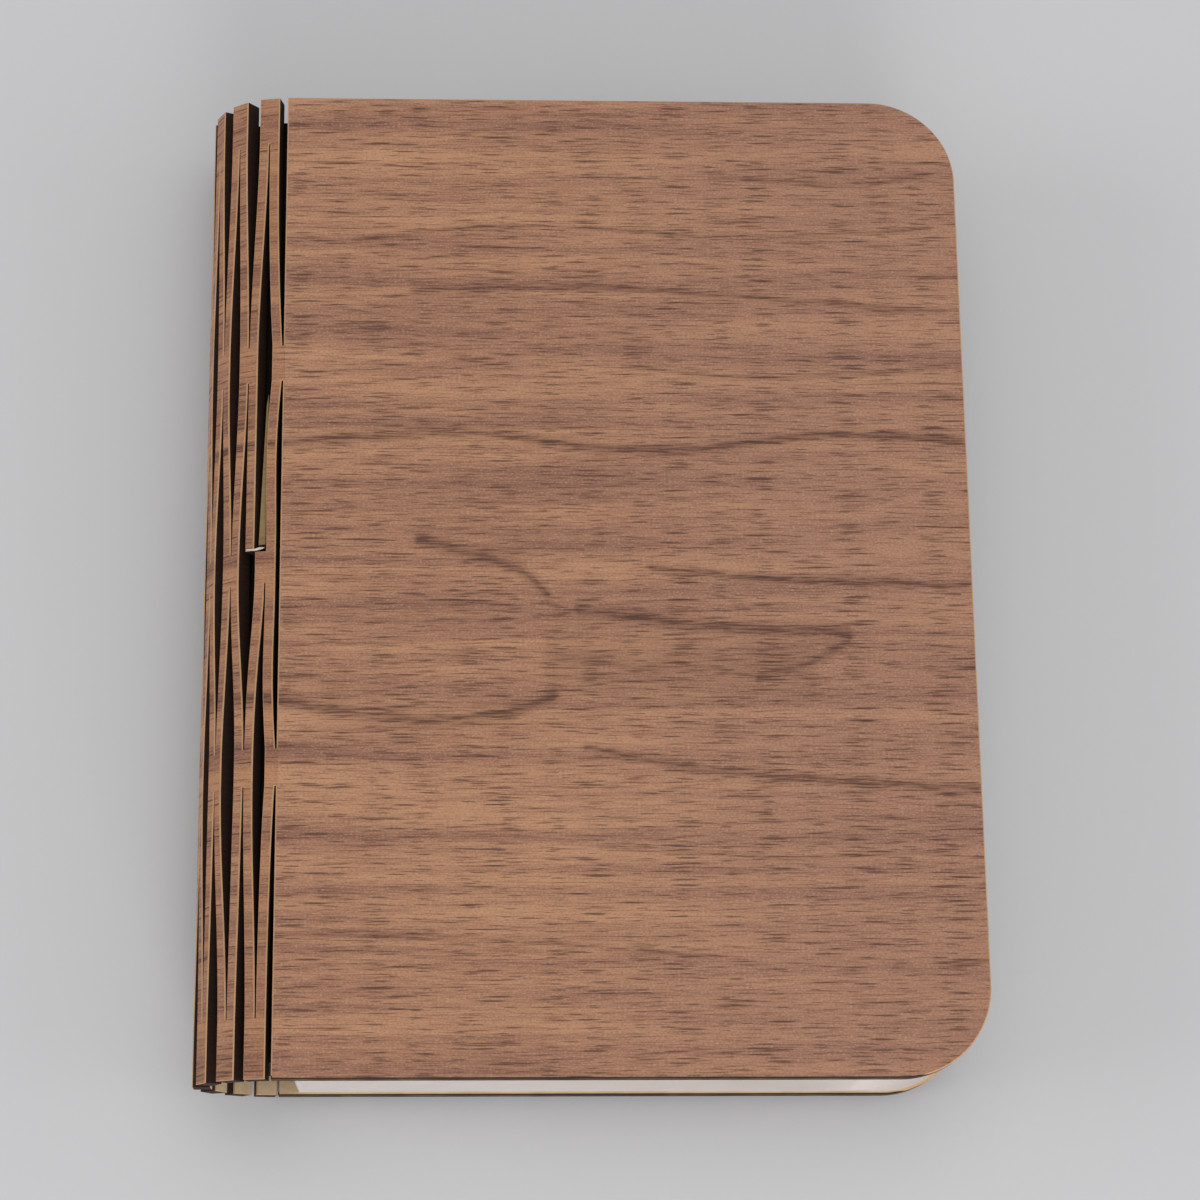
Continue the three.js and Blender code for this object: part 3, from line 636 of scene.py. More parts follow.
def sheet_plan(name, left, right, snapped):
    """A flat stretch of spine about its bend line. left and right say which strips it has: "strip",
    or "cover" where the cover's straight edge takes the strip's place."""
    edge = COVER_SLIT - SLIT / 2 + LAP
    columns = {
        "strip": [SLIT / 2, SLIT / 2 + STRIP_WIDTH / 2, PAIR, PAIR + SLIT / 2],
        "cover": [edge],
    }
    across = [-x for x in reversed(columns[left])] + columns[right]
    rows = opening_rows()
    seam = PAIR + SLIT / 2

    def solid(column, row):
        if not (0 <= column < len(across) - 1 and 0 <= row < len(rows) - 1):
            return False
        low, high = across[column], across[column + 1]
        middle = (rows[row] + rows[row + 1]) / 2
        if low < 0 < high:
            return between(middle, LOWER_BRIDGE) or between(middle, UPPER_BRIDGE)
        if max(abs(low), abs(high)) > PAIR + 1e-6 or (snapped and low > 0):
            if snapped and low > 0 and MIDDLE_BRIDGE[1] < middle < MIDDLE_BRIDGE[1] + BREAK:
                return False
        if max(abs(low), abs(high)) > PAIR + 1e-6:
            return middle < LOWER_END or middle > UPPER_END or between(middle, MIDDLE_BRIDGE)
        return True

    points, faces, kinds, index = [], [], [], {}

    def vertex(column, row, top):
        key = (column, row, top)
        if key not in index:
            index[key] = len(points)
            points.append((across[column], rows[row], (0.5 if top else -0.5) * BOARD_THICKNESS))
        return index[key]

    soft_edges = set()
    for column in range(len(across) - 1):
        for row in range(len(rows) - 1):
            if not solid(column, row):
                continue
            corners = [(column, row), (column + 1, row), (column + 1, row + 1), (column, row + 1)]
            faces.append([vertex(*c, True) for c in corners])
            kinds.append(FACE)
            faces.append([vertex(*c, False) for c in reversed(corners)])
            kinds.append(INSIDE)
            sides = [(0, 1, 0, -1), (1, 2, 1, 0), (2, 3, 0, 1), (3, 0, -1, 0)]
            for a, b, step_column, step_row in sides:
                if solid(column + step_column, row + step_row):
                    continue
                first, last = corners[a], corners[b]
                upper = [vertex(*last, True), vertex(*first, True)]
                faces.append(upper + [vertex(*first, False), vertex(*last, False)])
                kinds.append(CUT)
                x = across[first[0]]
                joined = first[0] == last[0] and (abs(abs(x) - seam) < 1e-6 or abs(x) == edge)
                if joined:
                    for top in (True, False):
                        soft_edges.add(frozenset((vertex(*first, top), vertex(*last, top))))
    mesh = bpy.data.meshes.new(name)
    mesh.from_pydata([[value * MM for value in p] for p in points], [], faces)
    for stuff in SPINE_MATERIALS:
        mesh.materials.append(stuff)
    for face, kind in zip(mesh.polygons, kinds):
        face.material_index = kind
    power_right = 2.2 if left == "cover" else 1.0
    power_left = 2.2 if right == "cover" else 1.0
    share = mesh.attributes.new("pairing", "FLOAT", "POINT")
    side = mesh.attributes.new("side", "FLOAT", "POINT")
    for i, (x, y, _z) in enumerate(points):
        value = pairing(y, power_right if x > 0 else power_left)
        if snapped and x > 0 and y > MIDDLE_BRIDGE[1] + BREAK / 2 and y < UPPER_BRIDGE[0]:
            value = 1.0
        share.data[i].value = value
        side.data[i].value = math.copysign(1, x)
    weight = mesh.attributes.new("bevel_weight_edge", "FLOAT", "EDGE")
    flat = {i for i, kind in enumerate(kinds) if kind != CUT}
    touching = {}
    for i, face in enumerate(mesh.polygons):
        for key in face.edge_keys:
            touching.setdefault(frozenset(key), set()).add(i)
    # Full bevel width only where the wall faces +x, WEAK_RIM elsewhere. The line itself is the beam's mark,
    # and its extra width on that side is a painted highlight.
    for one_edge in mesh.edges:
        key = frozenset(one_edge.vertices)
        around = touching.get(key, set())
        sharp = len(around) == 2 and len(around & flat) == 1 and key not in soft_edges
        facing = max((mesh.polygons[i].normal.x for i in around - flat), default=0.0)
        weight.data[one_edge.index].value = (1.0 if facing > 0.5 else WEAK_RIM) if sharp else 0.0
    return mesh


trial_plan = sheet_plan("trial plan", "strip", "strip", False)
print("one plan has", len(trial_plan.vertices), "points and", len(trial_plan.polygons), "faces")
bpy.data.meshes.remove(trial_plan)

# %% [markdown]
# ## Rolling the sheet round the spine
#
# A living hinge bends by twisting its thin strips. Where two strips are joined across a bend,
# they lie flat beside each other on the bend line. Where a strip is joined to its twin, it lies
# in the middle of its link. In between it leans over from one place to the other, and the slits
# open as long lenses. A geometry tree does this to the flat plan: it works out both places,
# mixes them by the attribute `pairing`, and keeps the flat place in `sheet` for the wood grain.

# %% Tree that rolls the sheet


def named(tree, label, kind="FLOAT"):
    return wire(tree, "GeometryNodeInputNamedAttribute", label, data_type=kind).outputs[0]


def turned(tree, vector, angle):
    node = wire(tree, "ShaderNodeVectorRotate", vector, rotation_type="Y_AXIS")
    fill(tree, node.inputs["Angle"], angle)
    return node.outputs[0]


def joined_xyz(tree, x, y, z):
    return wire(tree, "ShaderNodeCombineXYZ", x, y, z).outputs[0]


def rolling_tree():
    number = "NodeSocketFloat"
    tree, given, result = new_group(
        "roll the cut sheet",
        "GeometryNodeTree",
        [
            ("Geometry", "NodeSocketGeometry", None),
            ("Bend Angle", number, 0.0),
            ("Bend Radius", number, 0.0115),
            ("Link Radius", number, 0.0115),
            ("Half Arc", number, 0.22),
            ("Link Step", number, 0.0018),
            ("Sheet Place", number, 0.0),
            ("Lower Shift", number, 0.0),
            ("Upper Shift", number, 0.0),
            ("Left Foot Turn", number, 0.0),
            ("Right Foot Turn", number, 0.0),
            ("Left Middle Turn", number, 0.0),
            ("Right Middle Turn", number, 0.0),
            ("Centre", "NodeSocketVector", None),
        ],
        [("Geometry", "NodeSocketGeometry")],
    )
    place = tree.nodes.new("GeometryNodeInputPosition").outputs[0]
    x, y, z = wire(tree, "ShaderNodeSeparateXYZ", place).outputs
    options = {"data_type": "FLOAT_VECTOR", "domain": "POINT"}
    keep = wire(tree, "GeometryNodeStoreNamedAttribute", given["Geometry"], **options)
    keep.inputs["Name"].default_value = "sheet"
    fill(tree, keep.inputs["Value"], joined_xyz(tree, calc(tree, "ADD", x, given["Sheet Place"]), y, z))
    upper = calc(tree, "GREATER_THAN", y, 0.0)
    shift = mix(tree, "FLOAT", upper, given["Lower Shift"], given["Upper Shift"])
    paired = joined_xyz(tree, calc(tree, "ADD", x, shift), y, calc(tree, "ADD", z, given["Bend Radius"]))
    paired = turned(tree, paired, given["Bend Angle"])
    side = named(tree, "side")
    back = calc(tree, "SUBTRACT", x, calc(tree, "MULTIPLY", side, given["Link Step"]))
    twinned = joined_xyz(tree, back, y, calc(tree, "ADD", z, given["Link Radius"]))
    lean = calc(tree, "ADD", given["Bend Angle"], calc(tree, "MULTIPLY", side, given["Half Arc"]))
    right = calc(tree, "GREATER_THAN", side, 0.0)
    foot = mix(tree, "FLOAT", right, given["Left Foot Turn"], given["Right Foot Turn"])
    lean = calc(tree, "MULTIPLY_ADD", foot, smooth_step(tree, y, -10 * MM, -60 * MM), lean)
    middle = mix(tree, "FLOAT", right, given["Left Middle Turn"], given["Right Middle Turn"])
    near = smooth_step(tree, calc(tree, "ABSOLUTE", y), 28 * MM, 4 * MM)
    lean = calc(tree, "MULTIPLY_ADD", middle, near, lean)
    twinned = turned(tree, twinned, lean)
    place = mix(tree, "VECTOR", named(tree, "pairing"), twinned, paired)
    place = wire(tree, "ShaderNodeVectorMath", place, given["Centre"], operation="ADD").outputs[0]
    moved = wire(tree, "GeometryNodeSetPosition", keep.outputs[0], None, place)
    real = wire(tree, "GeometryNodeRealizeInstances", moved.outputs[0])
    last = real.outputs[0]
    for kind, stuff in enumerate(SPINE_MATERIALS):
        mine = wire(tree, "FunctionNodeCompare", data_type="INT", operation="EQUAL")
        fill(tree, mine.inputs[2], tree.nodes.new("GeometryNodeInputMaterialIndex").outputs[0])
        fill(tree, mine.inputs[3], kind)
        last = wire(tree, "GeometryNodeSetMaterial", last, mine.outputs[0], stuff).outputs[0]
    fill(tree, result["Geometry"], last)
    return tree


ROLL = rolling_tree()
print("rolling tree with", len(ROLL.nodes), "nodes")

# %% From a tree to a plain mesh


def grow(name, tree, values, mesh=None, before=None):
    """Runs a geometry tree on a mesh and keeps what it makes as a plain piece."""
    seed = mesh or bpy.data.meshes.new(name)
    piece = bpy.data.objects.new(name, seed)
    scene.collection.objects.link(piece)
    if before:
        before(piece)
    modifier = piece.modifiers.new("grow", "NODES")
    modifier.node_group = tree
    for item in tree.interface.items_tree:
        if item.item_type == "SOCKET" and item.in_out == "INPUT" and item.name in values:
            modifier[item.identifier] = values[item.name]
    depsgraph = bpy.context.evaluated_depsgraph_get()
    made = bpy.data.meshes.new_from_object(
        piece.evaluated_get(depsgraph), preserve_all_data_layers=True, depsgraph=depsgraph
    )
    piece.modifiers.clear()
    piece.data = made
    made.name = name
    bpy.data.meshes.remove(seed)
    return piece


def bevel_rim(piece, width, rim):
    cut = piece.modifiers.new("rim", "BEVEL")
    cut.limit_method = "WEIGHT"
    cut.width = width * MM
    cut.segments = 1
    cut.material = rim
    return cut


print("grow is ready")

# %% [markdown]
# ## The eight stretches of the spine
#
# Each stretch is one bend: it belongs half to the link before the bend and half to the link
# after it. The stretches meet in the middle of a link, where nothing bends. The photograph
# shows some play from bridge to bridge, which the shifts give.
# At the foot the links stand a little off their even places, which the foot turns give. One
# strip beside the front cover has snapped off its middle bridge.

# %% Roll the stretches
SHIFTS = {7: (0.0, 0.0), 6: (0.42, -0.12), 5: (0.1, 0.0), 4: (-0.1, 0.12)}
FOOT_TURNS = {7: 0.031, 6: 0.085, 5: 0.07, 3: -0.06, 2: -0.09, 1: -0.05}
MIDDLE_TURNS = {7: 0.048}
spine_pieces = []
for k in range(LINKS + 1):
    at_cover = k in (0, LINKS)
    angle = k * LINK_ARC
    plan = sheet_plan(
        f"plan_{k}",
        "cover" if k == 0 else "strip",
        "cover" if k == LINKS else "strip",
        k == LINKS - 1,
    )
    lower, upper = SHIFTS.get(k, (0.0, 0.0))
    values = {
        "Bend Angle": angle + math.pi,
        "Bend Radius": (PIVOT_RADIUS if at_cover else LINK_RADIUS) * MM,
        "Link Radius": LINK_RADIUS * MM,
        "Half Arc": LINK_ARC / 2,
        "Link Step": SHEET_STEP / 2 * MM,
        "Sheet Place": (HINGE_X - SHEET_STEP * (LINKS - k)) * MM,
        "Lower Shift": lower * MM,
        "Upper Shift": upper * MM,
        "Left Foot Turn": FOOT_TURNS.get(k, 0.0),
        "Right Foot Turn": FOOT_TURNS.get(k + 1, 0.0),
        "Left Middle Turn": MIDDLE_TURNS.get(k, 0.0),
        "Right Middle Turn": MIDDLE_TURNS.get(k + 1, 0.0),
        "Centre": (HINGE_X * MM, 0.0, MIDDLE_Z * MM),
    }
    piece = grow(f"spine_bend_strips_{k}", ROLL, values, plan, lambda o: bevel_rim(o, RIM_WIDTH, RIM))
    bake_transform(piece)
    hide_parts(f"spine_link_{max(k, 1)}")
    spine_pieces.append(piece)
    print(piece.name, len(piece.data.polygons), "faces, materials", len(piece.data.materials))

# %% [markdown]
# ## Traces of the snapped strip
#
# Where the strip snapped, a splinter of its core sticks out of the break; its pale colour is a
# painted highlight on the broken end. A ridge of yellowed glue shows in the slit beside it.
# Both are thin flat shards. They are drawn as outlines and given a thickness by `plate`, which
# also makes the covers and the end papers, so it is defined here first.

# %% Plates from an outline


def page_outline(start, end, half, radius, steps, stops=()):
    """Points of a page's outline, against the clock seen from above, with stops on the spine side."""
    points = [(start, -half)]
    for turn, middle in ((-90, -half + radius), (0, half - radius)):
        for i in range(steps + 1):
            a = math.radians(turn + 90 * i / steps)
            points.append((end - radius + radius * math.cos(a), middle + radius * math.sin(a)))
    points.append((start, half))
    return points + [(start, y) for y in sorted(stops, reverse=True)]


def plate(name, outline, low, high, materials, soft=lambda a, b: False):
    count = len(outline)
    points = [(x, y, z) for z in (low, high) for x, y in outline]
    faces = [list(reversed(range(count))), list(range(count, 2 * count))]
    for i in range(count):
        j = (i + 1) % count
        faces.append([i, j, count + j, count + i])
    mesh = bpy.data.meshes.new(name)
    mesh.from_pydata([[value * MM for value in p] for p in points], [], faces)
    for stuff in materials:
        mesh.materials.append(stuff)
    weight = mesh.attributes.new("bevel_weight_edge", "FLOAT", "EDGE")
    for edge in mesh.edges:
        a, b = (points[i] for i in edge.vertices)
        weight.data[edge.index].value = 1.0 if a[2] == b[2] and not soft(a, b) else 0.0
    for face, kind in zip(mesh.polygons, [0, 1] + [2] * count):
        face.material_index = kind
    piece = bpy.data.objects.new(name, mesh)
    scene.collection.objects.link(piece)
    return piece


def keep_modifiers(piece):
    """Turns the piece with its modifiers into a plain mesh."""
    depsgraph = bpy.context.evaluated_depsgraph_get()
    made = bpy.data.meshes.new_from_object(
        piece.evaluated_get(depsgraph), preserve_all_data_layers=True, depsgraph=depsgraph
    )
    piece.modifiers.clear()
    piece.data = made


def smooth(piece, degrees):
    piece.data.shade_smooth()
    piece.data.set_sharp_from_angle(angle=math.radians(degrees))


print("plates are ready")

# %% Splinter and glue
# The splinter's pale colour is a painted highlight on the break.
SPLINTER_PAINTED_HIGHLIGHT = core_material(
    "pale splinter", object_place, 0.0, {"Deep": linear(196, 176, 156), "Light": linear(228, 218, 206)}
)
OLD_GLUE = core_material(
    "yellowed glue", object_place, 0.1, {"Deep": linear(118, 92, 58), "Light": linear(176, 150, 104)}
)
SHARDS = {
    "snapped_strip_splinter": (
        SPLINTER_PAINTED_HIGHLIGHT, (25.9, 26.35),
        [(-55.7, 2.74), (-54.3, 2.7), (-53.4, 2.9), (-52.7, 3.2), (-53.5, 3.2), (-54.3, 2.92), (-55.6, 2.86)],
    ),
    "glue_ridge": (
        OLD_GLUE, (23.9, 25.3),
        [(-53.7, 3.9), (-52.6, 4.0), (-52.5, 21), (-52.5, 30), (-52.8, 28), (-53.1, 20), (-53.4, 12)],
    ),
}
for name, (stuff, (low, high), outline) in SHARDS.items():
    shard = plate(name, outline, low, high, (stuff, stuff, stuff))
    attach(shard, "link_7")
    print(shard.name, len(shard.data.polygons), "faces")

# %% [markdown]
# ## The covers
#
# A cover is a plate with a straight edge at the spine and two rounded corners at the fore edge.
# Its outline is drawn point by point, filled on both sides and walled. The rim is bevelled but
# for the two places where bridges join it to the spine, so that the face runs on without a line.

# %% Cover boards
COVER_START = HINGE_X + COVER_SLIT - SLIT / 2
bridge_stops = (*LOWER_BRIDGE, *UPPER_BRIDGE)


def at_bridge(a, b):
    middle = (a[1] + b[1]) / 2
    return a[0] == b[0] == COVER_START and (between(middle, LOWER_BRIDGE) or between(middle, UPPER_BRIDGE))


for side, low in (("back", 0), ("front", BOOK_THICKNESS - BOARD_THICKNESS)):
    outline = page_outline(COVER_START, FORE_EDGE_X, HALF, CORNER_RADIUS, 28, bridge_stops)
    bottom, top = (COVER_INSIDE, COVER_FACE) if side == "front" else (COVER_FACE, COVER_INSIDE)
    stuffs = (bottom, top, COVER_CUT, COVER_RIM)
    board = plate(f"{side}_cover", outline, low, low + BOARD_THICKNESS, stuffs, at_bridge)
    bevel_rim(board, RIM_WIDTH, 3)
    keep_modifiers(board)
    smooth(board, 30)
    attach(board, f"{side}_cover")
    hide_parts(f"{side}_cover_board")
    print(board.name, len(board.data.vertices), "points")

# %% [markdown]
# ## The paper shade
#
# The shade is one long sheet folded to and fro. At the fore edge each pair of leaves meets in a
# sharp crease, and beside the light bar they part. One geometry tree makes a pair of leaves: a
# grid bent over like a hairpin, cut round at its corners, a little wavy and given its thickness.
# A second tree makes the small folds near the bar, which join one pair to the next.

# %% Paper material


def paper_group():
    tree, given, result = new_group(
        "folded paper",
        "ShaderNodeTree",
        [("Place", "NodeSocketVector", None), ("Tint", "NodeSocketColor", None)],
        [("Color", "NodeSocketColor"), ("Height", "NodeSocketFloat")],
    )
    fibres = streaks(tree, given["Place"], 1.2, 0.18, 4, 0.7, 2.2)
    clouds = streaks(tree, given["Place"], 4.5, 3.5, 3, 0.6, 6.6)
    pale = smooth_step(tree, fibres, 0.35, 0.75, 0.0, 0.35)
    color = mix_color(tree, pale, given["Tint"], linear(222, 214, 208))
    color = mix_color(tree, smooth_step(tree, clouds, 0.4, 0.7, 0.0, 0.4), color, linear(238, 231, 226))
    fill(tree, result["Color"], color)
    fill(tree, result["Height"], calc(tree, "ADD", fibres, clouds))
    return tree


PAPER = paper_group()


def paper_material(name, place, tint):
    made, tree, skin = new_material(name, tint, 0.85)
    paper = use_group(tree, PAPER, Place=place(tree), Tint=tint)
    fill(tree, skin.inputs["Base Color"], paper["Color"])
    skin.inputs["Specular IOR Level"].default_value = 0.25
    bump(tree, skin, paper["Height"], 0.00003, 0.5)
    return made


SHADE_PAPER = paper_material("shade paper", sheet_place, linear(232, 224, 218))
ENDPAPER = paper_material("end paper", object_place, linear(230, 222, 216))
print("paper materials ready")

# %% Sizes of the shade
PLEATS = 14
PAGE_START = HINGE_X + 4
PAGE_END = FORE_EDGE_X - 0.5
PAGE_HALF = HALF - 0.5
PAGE_CORNER = CORNER_RADIUS - 0.5
ENDPAPER_THICKNESS = 0.25
SEAT_GAP = 0.3
STACK_LOW = BOARD_THICKNESS + ENDPAPER_THICKNESS
STACK_HIGH = BOOK_THICKNESS - STACK_LOW
PLEAT_THICKNESS = (STACK_HIGH - STACK_LOW - (PLEATS + 1) * SEAT_GAP) / PLEATS
PAPER_THICKNESS = 0.22
MOUTH = PLEAT_THICKNESS / 2 - PAPER_THICKNESS - 0.02
CREASE = 0.03
WAVE = 0.07
FIRST_PLEAT = STACK_LOW + SEAT_GAP + PLEAT_THICKNESS / 2
pleat_middle = [FIRST_PLEAT + (PLEAT_THICKNESS + SEAT_GAP) * j for j in range(PLEATS)]
print("pleat thickness", round(PLEAT_THICKNESS, 3), "mm, first middle", round(pleat_middle[0], 3), "mm")

# %% Tree of a pair of leaves


def thickened(tree, surface, thickness, stuff):
    """Gives a surface its thickness, closes it and gives it its material."""
    push = wire(tree, "GeometryNodeExtrudeMesh", mode="FACES")
    fill(tree, push.inputs["Mesh"], surface)
    fill(tree, push.inputs["Offset Scale"], thickness)
    push.inputs["Individual"].default_value = False
    back = wire(tree, "GeometryNodeFlipFaces", surface)
    whole = tree.nodes.new("GeometryNodeJoinGeometry")
    tree.links.new(push.outputs[0], whole.inputs[0])
    tree.links.new(back.outputs[0], whole.inputs[0])
    closed = wire(tree, "GeometryNodeMergeByDistance", whole.outputs[0])
    fill(tree, closed.inputs["Distance"], 1e-6)
    options = {"data_type": "FLOAT_VECTOR", "domain": "POINT"}
    flat = wire(tree, "GeometryNodeStoreNamedAttribute", closed.outputs[0], **options)
    flat.inputs["Name"].default_value = "sheet"
    fill(tree, flat.inputs["Value"], tree.nodes.new("GeometryNodeInputPosition").outputs[0])
    real = wire(tree, "GeometryNodeRealizeInstances", flat.outputs[0])
    return wire(tree, "GeometryNodeSetMaterial", real.outputs[0], None, stuff).outputs[0]


def share_grid(tree, columns, rows):
    """A grid whose place runs from 0 to 1 both ways."""
    grid = wire(tree, "GeometryNodeMeshGrid", 1.0, 1.0, columns, rows)
    place = tree.nodes.new("GeometryNodeInputPosition").outputs[0]
    x, y, _z = wire(tree, "ShaderNodeSeparateXYZ", place).outputs
    return grid.outputs[0], calc(tree, "ADD", x, 0.5), calc(tree, "MULTIPLY", y, 2.0)


def leaves_tree():
    number = "NodeSocketFloat"
    tree, given, result = new_group(
        "pair of leaves",
        "GeometryNodeTree",
        [
            ("Geometry", "NodeSocketGeometry", None),
            ("Middle", number, 0.0),
            ("Start", number, 0.0),
            ("End", number, 0.1),
            ("Half Height", number, 0.08),
            ("Corner", number, 0.014),
            ("Mouth", number, 0.0003),
            ("Crease", number, 0.00003),
            ("Wave", number, 0.00007),
            ("Thickness", number, 0.0002),
            ("Seed", number, 0.0),
        ],
        [("Geometry", "NodeSocketGeometry")],
    )
    grid, u, v = share_grid(tree, 33, 73)
    cube = calc(tree, "MULTIPLY", calc(tree, "POWER", calc(tree, "ABSOLUTE", v), 3.0), calc(tree, "SIGN", v))
    height = calc(tree, "SUBTRACT", calc(tree, "MULTIPLY", v, 1.5), calc(tree, "MULTIPLY", cube, 0.5))
    y = calc(tree, "MULTIPLY", height, given["Half Height"])
    reach = calc(tree, "ADD", calc(tree, "ABSOLUTE", y), given["Corner"])
    into = calc(tree, "SUBTRACT", reach, given["Half Height"])
    into = calc(tree, "MAXIMUM", into, 0.0)
    square = calc(tree, "SUBTRACT", calc(tree, "POWER", given["Corner"], 2.0), calc(tree, "POWER", into, 2.0))
    lost = calc(tree, "SUBTRACT", given["Corner"], calc(tree, "SQRT", calc(tree, "MAXIMUM", square, 0.0)))
    reach = calc(tree, "SUBTRACT", calc(tree, "SUBTRACT", given["End"], lost), given["Start"])
    around = calc(tree, "SUBTRACT", calc(tree, "MULTIPLY", u, 2.0), 1.0)
    outward = calc(tree, "SUBTRACT", 1.0, calc(tree, "ABSOLUTE", around))
    x = calc(tree, "MULTIPLY_ADD", reach, outward, given["Start"])
    gap = mix(tree, "FLOAT", outward, given["Mouth"], given["Crease"])
    at_crease = calc(tree, "LESS_THAN", calc(tree, "ABSOLUTE", around), 0.01)
    gap = calc(tree, "MULTIPLY", gap, calc(tree, "SUBTRACT", 1.0, at_crease))
    noise_place = joined_xyz(tree, calc(tree, "ADD", x, given["Seed"]), y, given["Seed"])
    noise = wire(tree, "ShaderNodeTexNoise", noise_place, None, 34.0, 1.0, 0.4)
    noise.noise_dimensions = "3D"
    wave = calc(tree, "MULTIPLY", calc(tree, "SUBTRACT", noise.outputs[0], 0.5), given["Wave"])
    wave = calc(tree, "MULTIPLY", wave, 2.0)
    rise = calc(tree, "MULTIPLY", gap, calc(tree, "SIGN", around))
    z = calc(tree, "ADD", calc(tree, "ADD", given["Middle"], rise), wave)
    bent = wire(tree, "GeometryNodeSetPosition", grid, None, joined_xyz(tree, x, y, z))
    fill(tree, result["Geometry"], thickened(tree, bent.outputs[0], given["Thickness"], SHADE_PAPER))
    return tree


LEAVES = leaves_tree()
for j in range(PLEATS):
    label = f"{j + 1:02d}"
    values = {
        "Middle": pleat_middle[j] * MM,
        "Start": PAGE_START * MM,
        "End": (PAGE_END - PAPER_THICKNESS) * MM,
        "Half Height": PAGE_HALF * MM,
        "Corner": PAGE_CORNER * MM,
        "Mouth": MOUTH * MM,
        "Crease": CREASE * MM,
        "Wave": WAVE * MM,
        "Thickness": PAPER_THICKNESS * MM,
        "Seed": j * 0.37,
    }
    leaves = grow(f"leaves_{label}", LEAVES, values)
    smooth(leaves, 30)
    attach(leaves, f"pleat_{label}")
    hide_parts(f"shade_pleat_{label}")
print("pairs of leaves:", PLEATS, "with", len(leaves.data.polygons), "faces each")

# %% Tree of a fold beside the bar


def fold_tree():
    number = "NodeSocketFloat"
    tree, given, result = new_group(
        "fold beside the bar",
        "GeometryNodeTree",
        [
            ("Geometry", "NodeSocketGeometry", None),
            ("Low", number, 0.0),
            ("High", number, 0.0),
            ("Start", number, 0.0),
            ("Depth", number, 0.0004),
            ("Half Height", number, 0.08),
            ("Thickness", number, 0.0002),
        ],
        [("Geometry", "NodeSocketGeometry")],
    )
    grid, u, v = share_grid(tree, 11, 5)
    y = calc(tree, "MULTIPLY", v, given["Half Height"])
    bow = calc(tree, "SINE", calc(tree, "MULTIPLY", u, math.pi))
    x = calc(tree, "SUBTRACT", given["Start"], calc(tree, "MULTIPLY", bow, given["Depth"]))
    z = mix(tree, "FLOAT", u, given["Low"], given["High"])
    bent = wire(tree, "GeometryNodeSetPosition", grid, None, joined_xyz(tree, x, y, z))
    fill(tree, result["Geometry"], thickened(tree, bent.outputs[0], given["Thickness"], SHADE_PAPER))
    return tree


FOLD = fold_tree()
LEAF_OFFSET = MOUTH + PAPER_THICKNESS / 2
FOLD_DEPTH = 0.4
FOLD_START = PAGE_START + 0.1
for j in range(PLEATS + 1):
    low = pleat_middle[j - 1] + LEAF_OFFSET if j > 0 else BOARD_THICKNESS + ENDPAPER_THICKNESS / 2
    last_leaf = BOOK_THICKNESS - BOARD_THICKNESS - ENDPAPER_THICKNESS / 2
    high = pleat_middle[j] - LEAF_OFFSET if j < PLEATS else last_leaf
    values = {
        "Low": low * MM,
        "High": high * MM,
        "Start": FOLD_START * MM,
        "Depth": FOLD_DEPTH * MM,
        "Half Height": PAGE_HALF * MM,
        "Thickness": PAPER_THICKNESS * MM,
    }
    fold = grow(f"fold_{j:02d}", FOLD, values)
    smooth(fold, 50)
    if j % 2 == 1:
        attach(fold, f"link_{(j + 1) // 2}")
    else:
        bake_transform(fold)
print("folds beside the bar:", PLEATS + 1)

# %% [markdown]
# ## End papers and magnets
#
# The outermost leaves of the shade are glued flat to the covers. They hide the magnets that are
# let into the boards, so the magnets keep their measured shape and only get their metal.

# %% End papers
for side, low in (("back", BOARD_THICKNESS), ("front", BOOK_THICKNESS - STACK_LOW)):
    outline = page_outline(PAGE_START, PAGE_END, PAGE_HALF, PAGE_CORNER, 28)
    page = plate(f"{side}_end_leaf", outline, low, low + ENDPAPER_THICKNESS, (ENDPAPER, ENDPAPER, ENDPAPER))
    smooth(page, 30)
    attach(page, f"{side}_cover")
    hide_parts(f"{side}_endpaper")
    print(page.name, len(page.data.vertices), "points")

# %% [markdown]
# ## Plastic, metal and the parts of the light bar
#
# The light bar is inside the spine and shows only at the book's ends and when it is open. Its
# solids have the right shape already, so they keep it. Each gets a finish with its own grain:
# spark-eroded plastic, brushed or rolled metal, glass-filled circuit board, crinkled foil.
# One group, `handling`, gives all of them the faint marks and dust of a thing that was used.

# %% Group for marks and dust


def handling_group():
    tree, given, result = new_group(
        "handling marks",
        "ShaderNodeTree",
        [
            ("Place", "NodeSocketVector", None),
            ("Color", "NodeSocketColor", None),
            ("Grain", "NodeSocketFloat", 0.4),
            ("Dust", "NodeSocketFloat", 0.2),
            ("Roughness", "NodeSocketFloat", 0.5),
        ],
        [("Color", "NodeSocketColor"), ("Roughness", "NodeSocketFloat"), ("Height", "NodeSocketFloat")],
    )
    size = calc(tree, "DIVIDE", 1.0, given["Grain"])
    grit = wire(tree, "ShaderNodeTexNoise", given["Place"], None, size, 3.0, 0.6).outputs[0]
    smudge = wire(tree, "ShaderNodeTexNoise", given["Place"], None, 0.11, 4.0, 0.6).outputs[0]
    dust = calc(tree, "MULTIPLY", smooth_step(tree, smudge, 0.45, 0.75), given["Dust"])
    gritty = smooth_step(tree, grit, 0.25, 0.75, 0.0, 0.3)
    shade = mix_color(tree, gritty, given["Color"], linear(190, 188, 186), "MULTIPLY")
    fill(tree, result["Color"], mix_color(tree, dust, shade, linear(176, 170, 162)))
    smear = calc(tree, "MULTIPLY", calc(tree, "SUBTRACT", smudge, 0.5), 0.25)
    rough = calc(tree, "ADD", given["Roughness"], smear)
    fill(tree, result["Roughness"], rough)
    fill(tree, result["Height"], grit)
    return tree


HANDLING = handling_group()


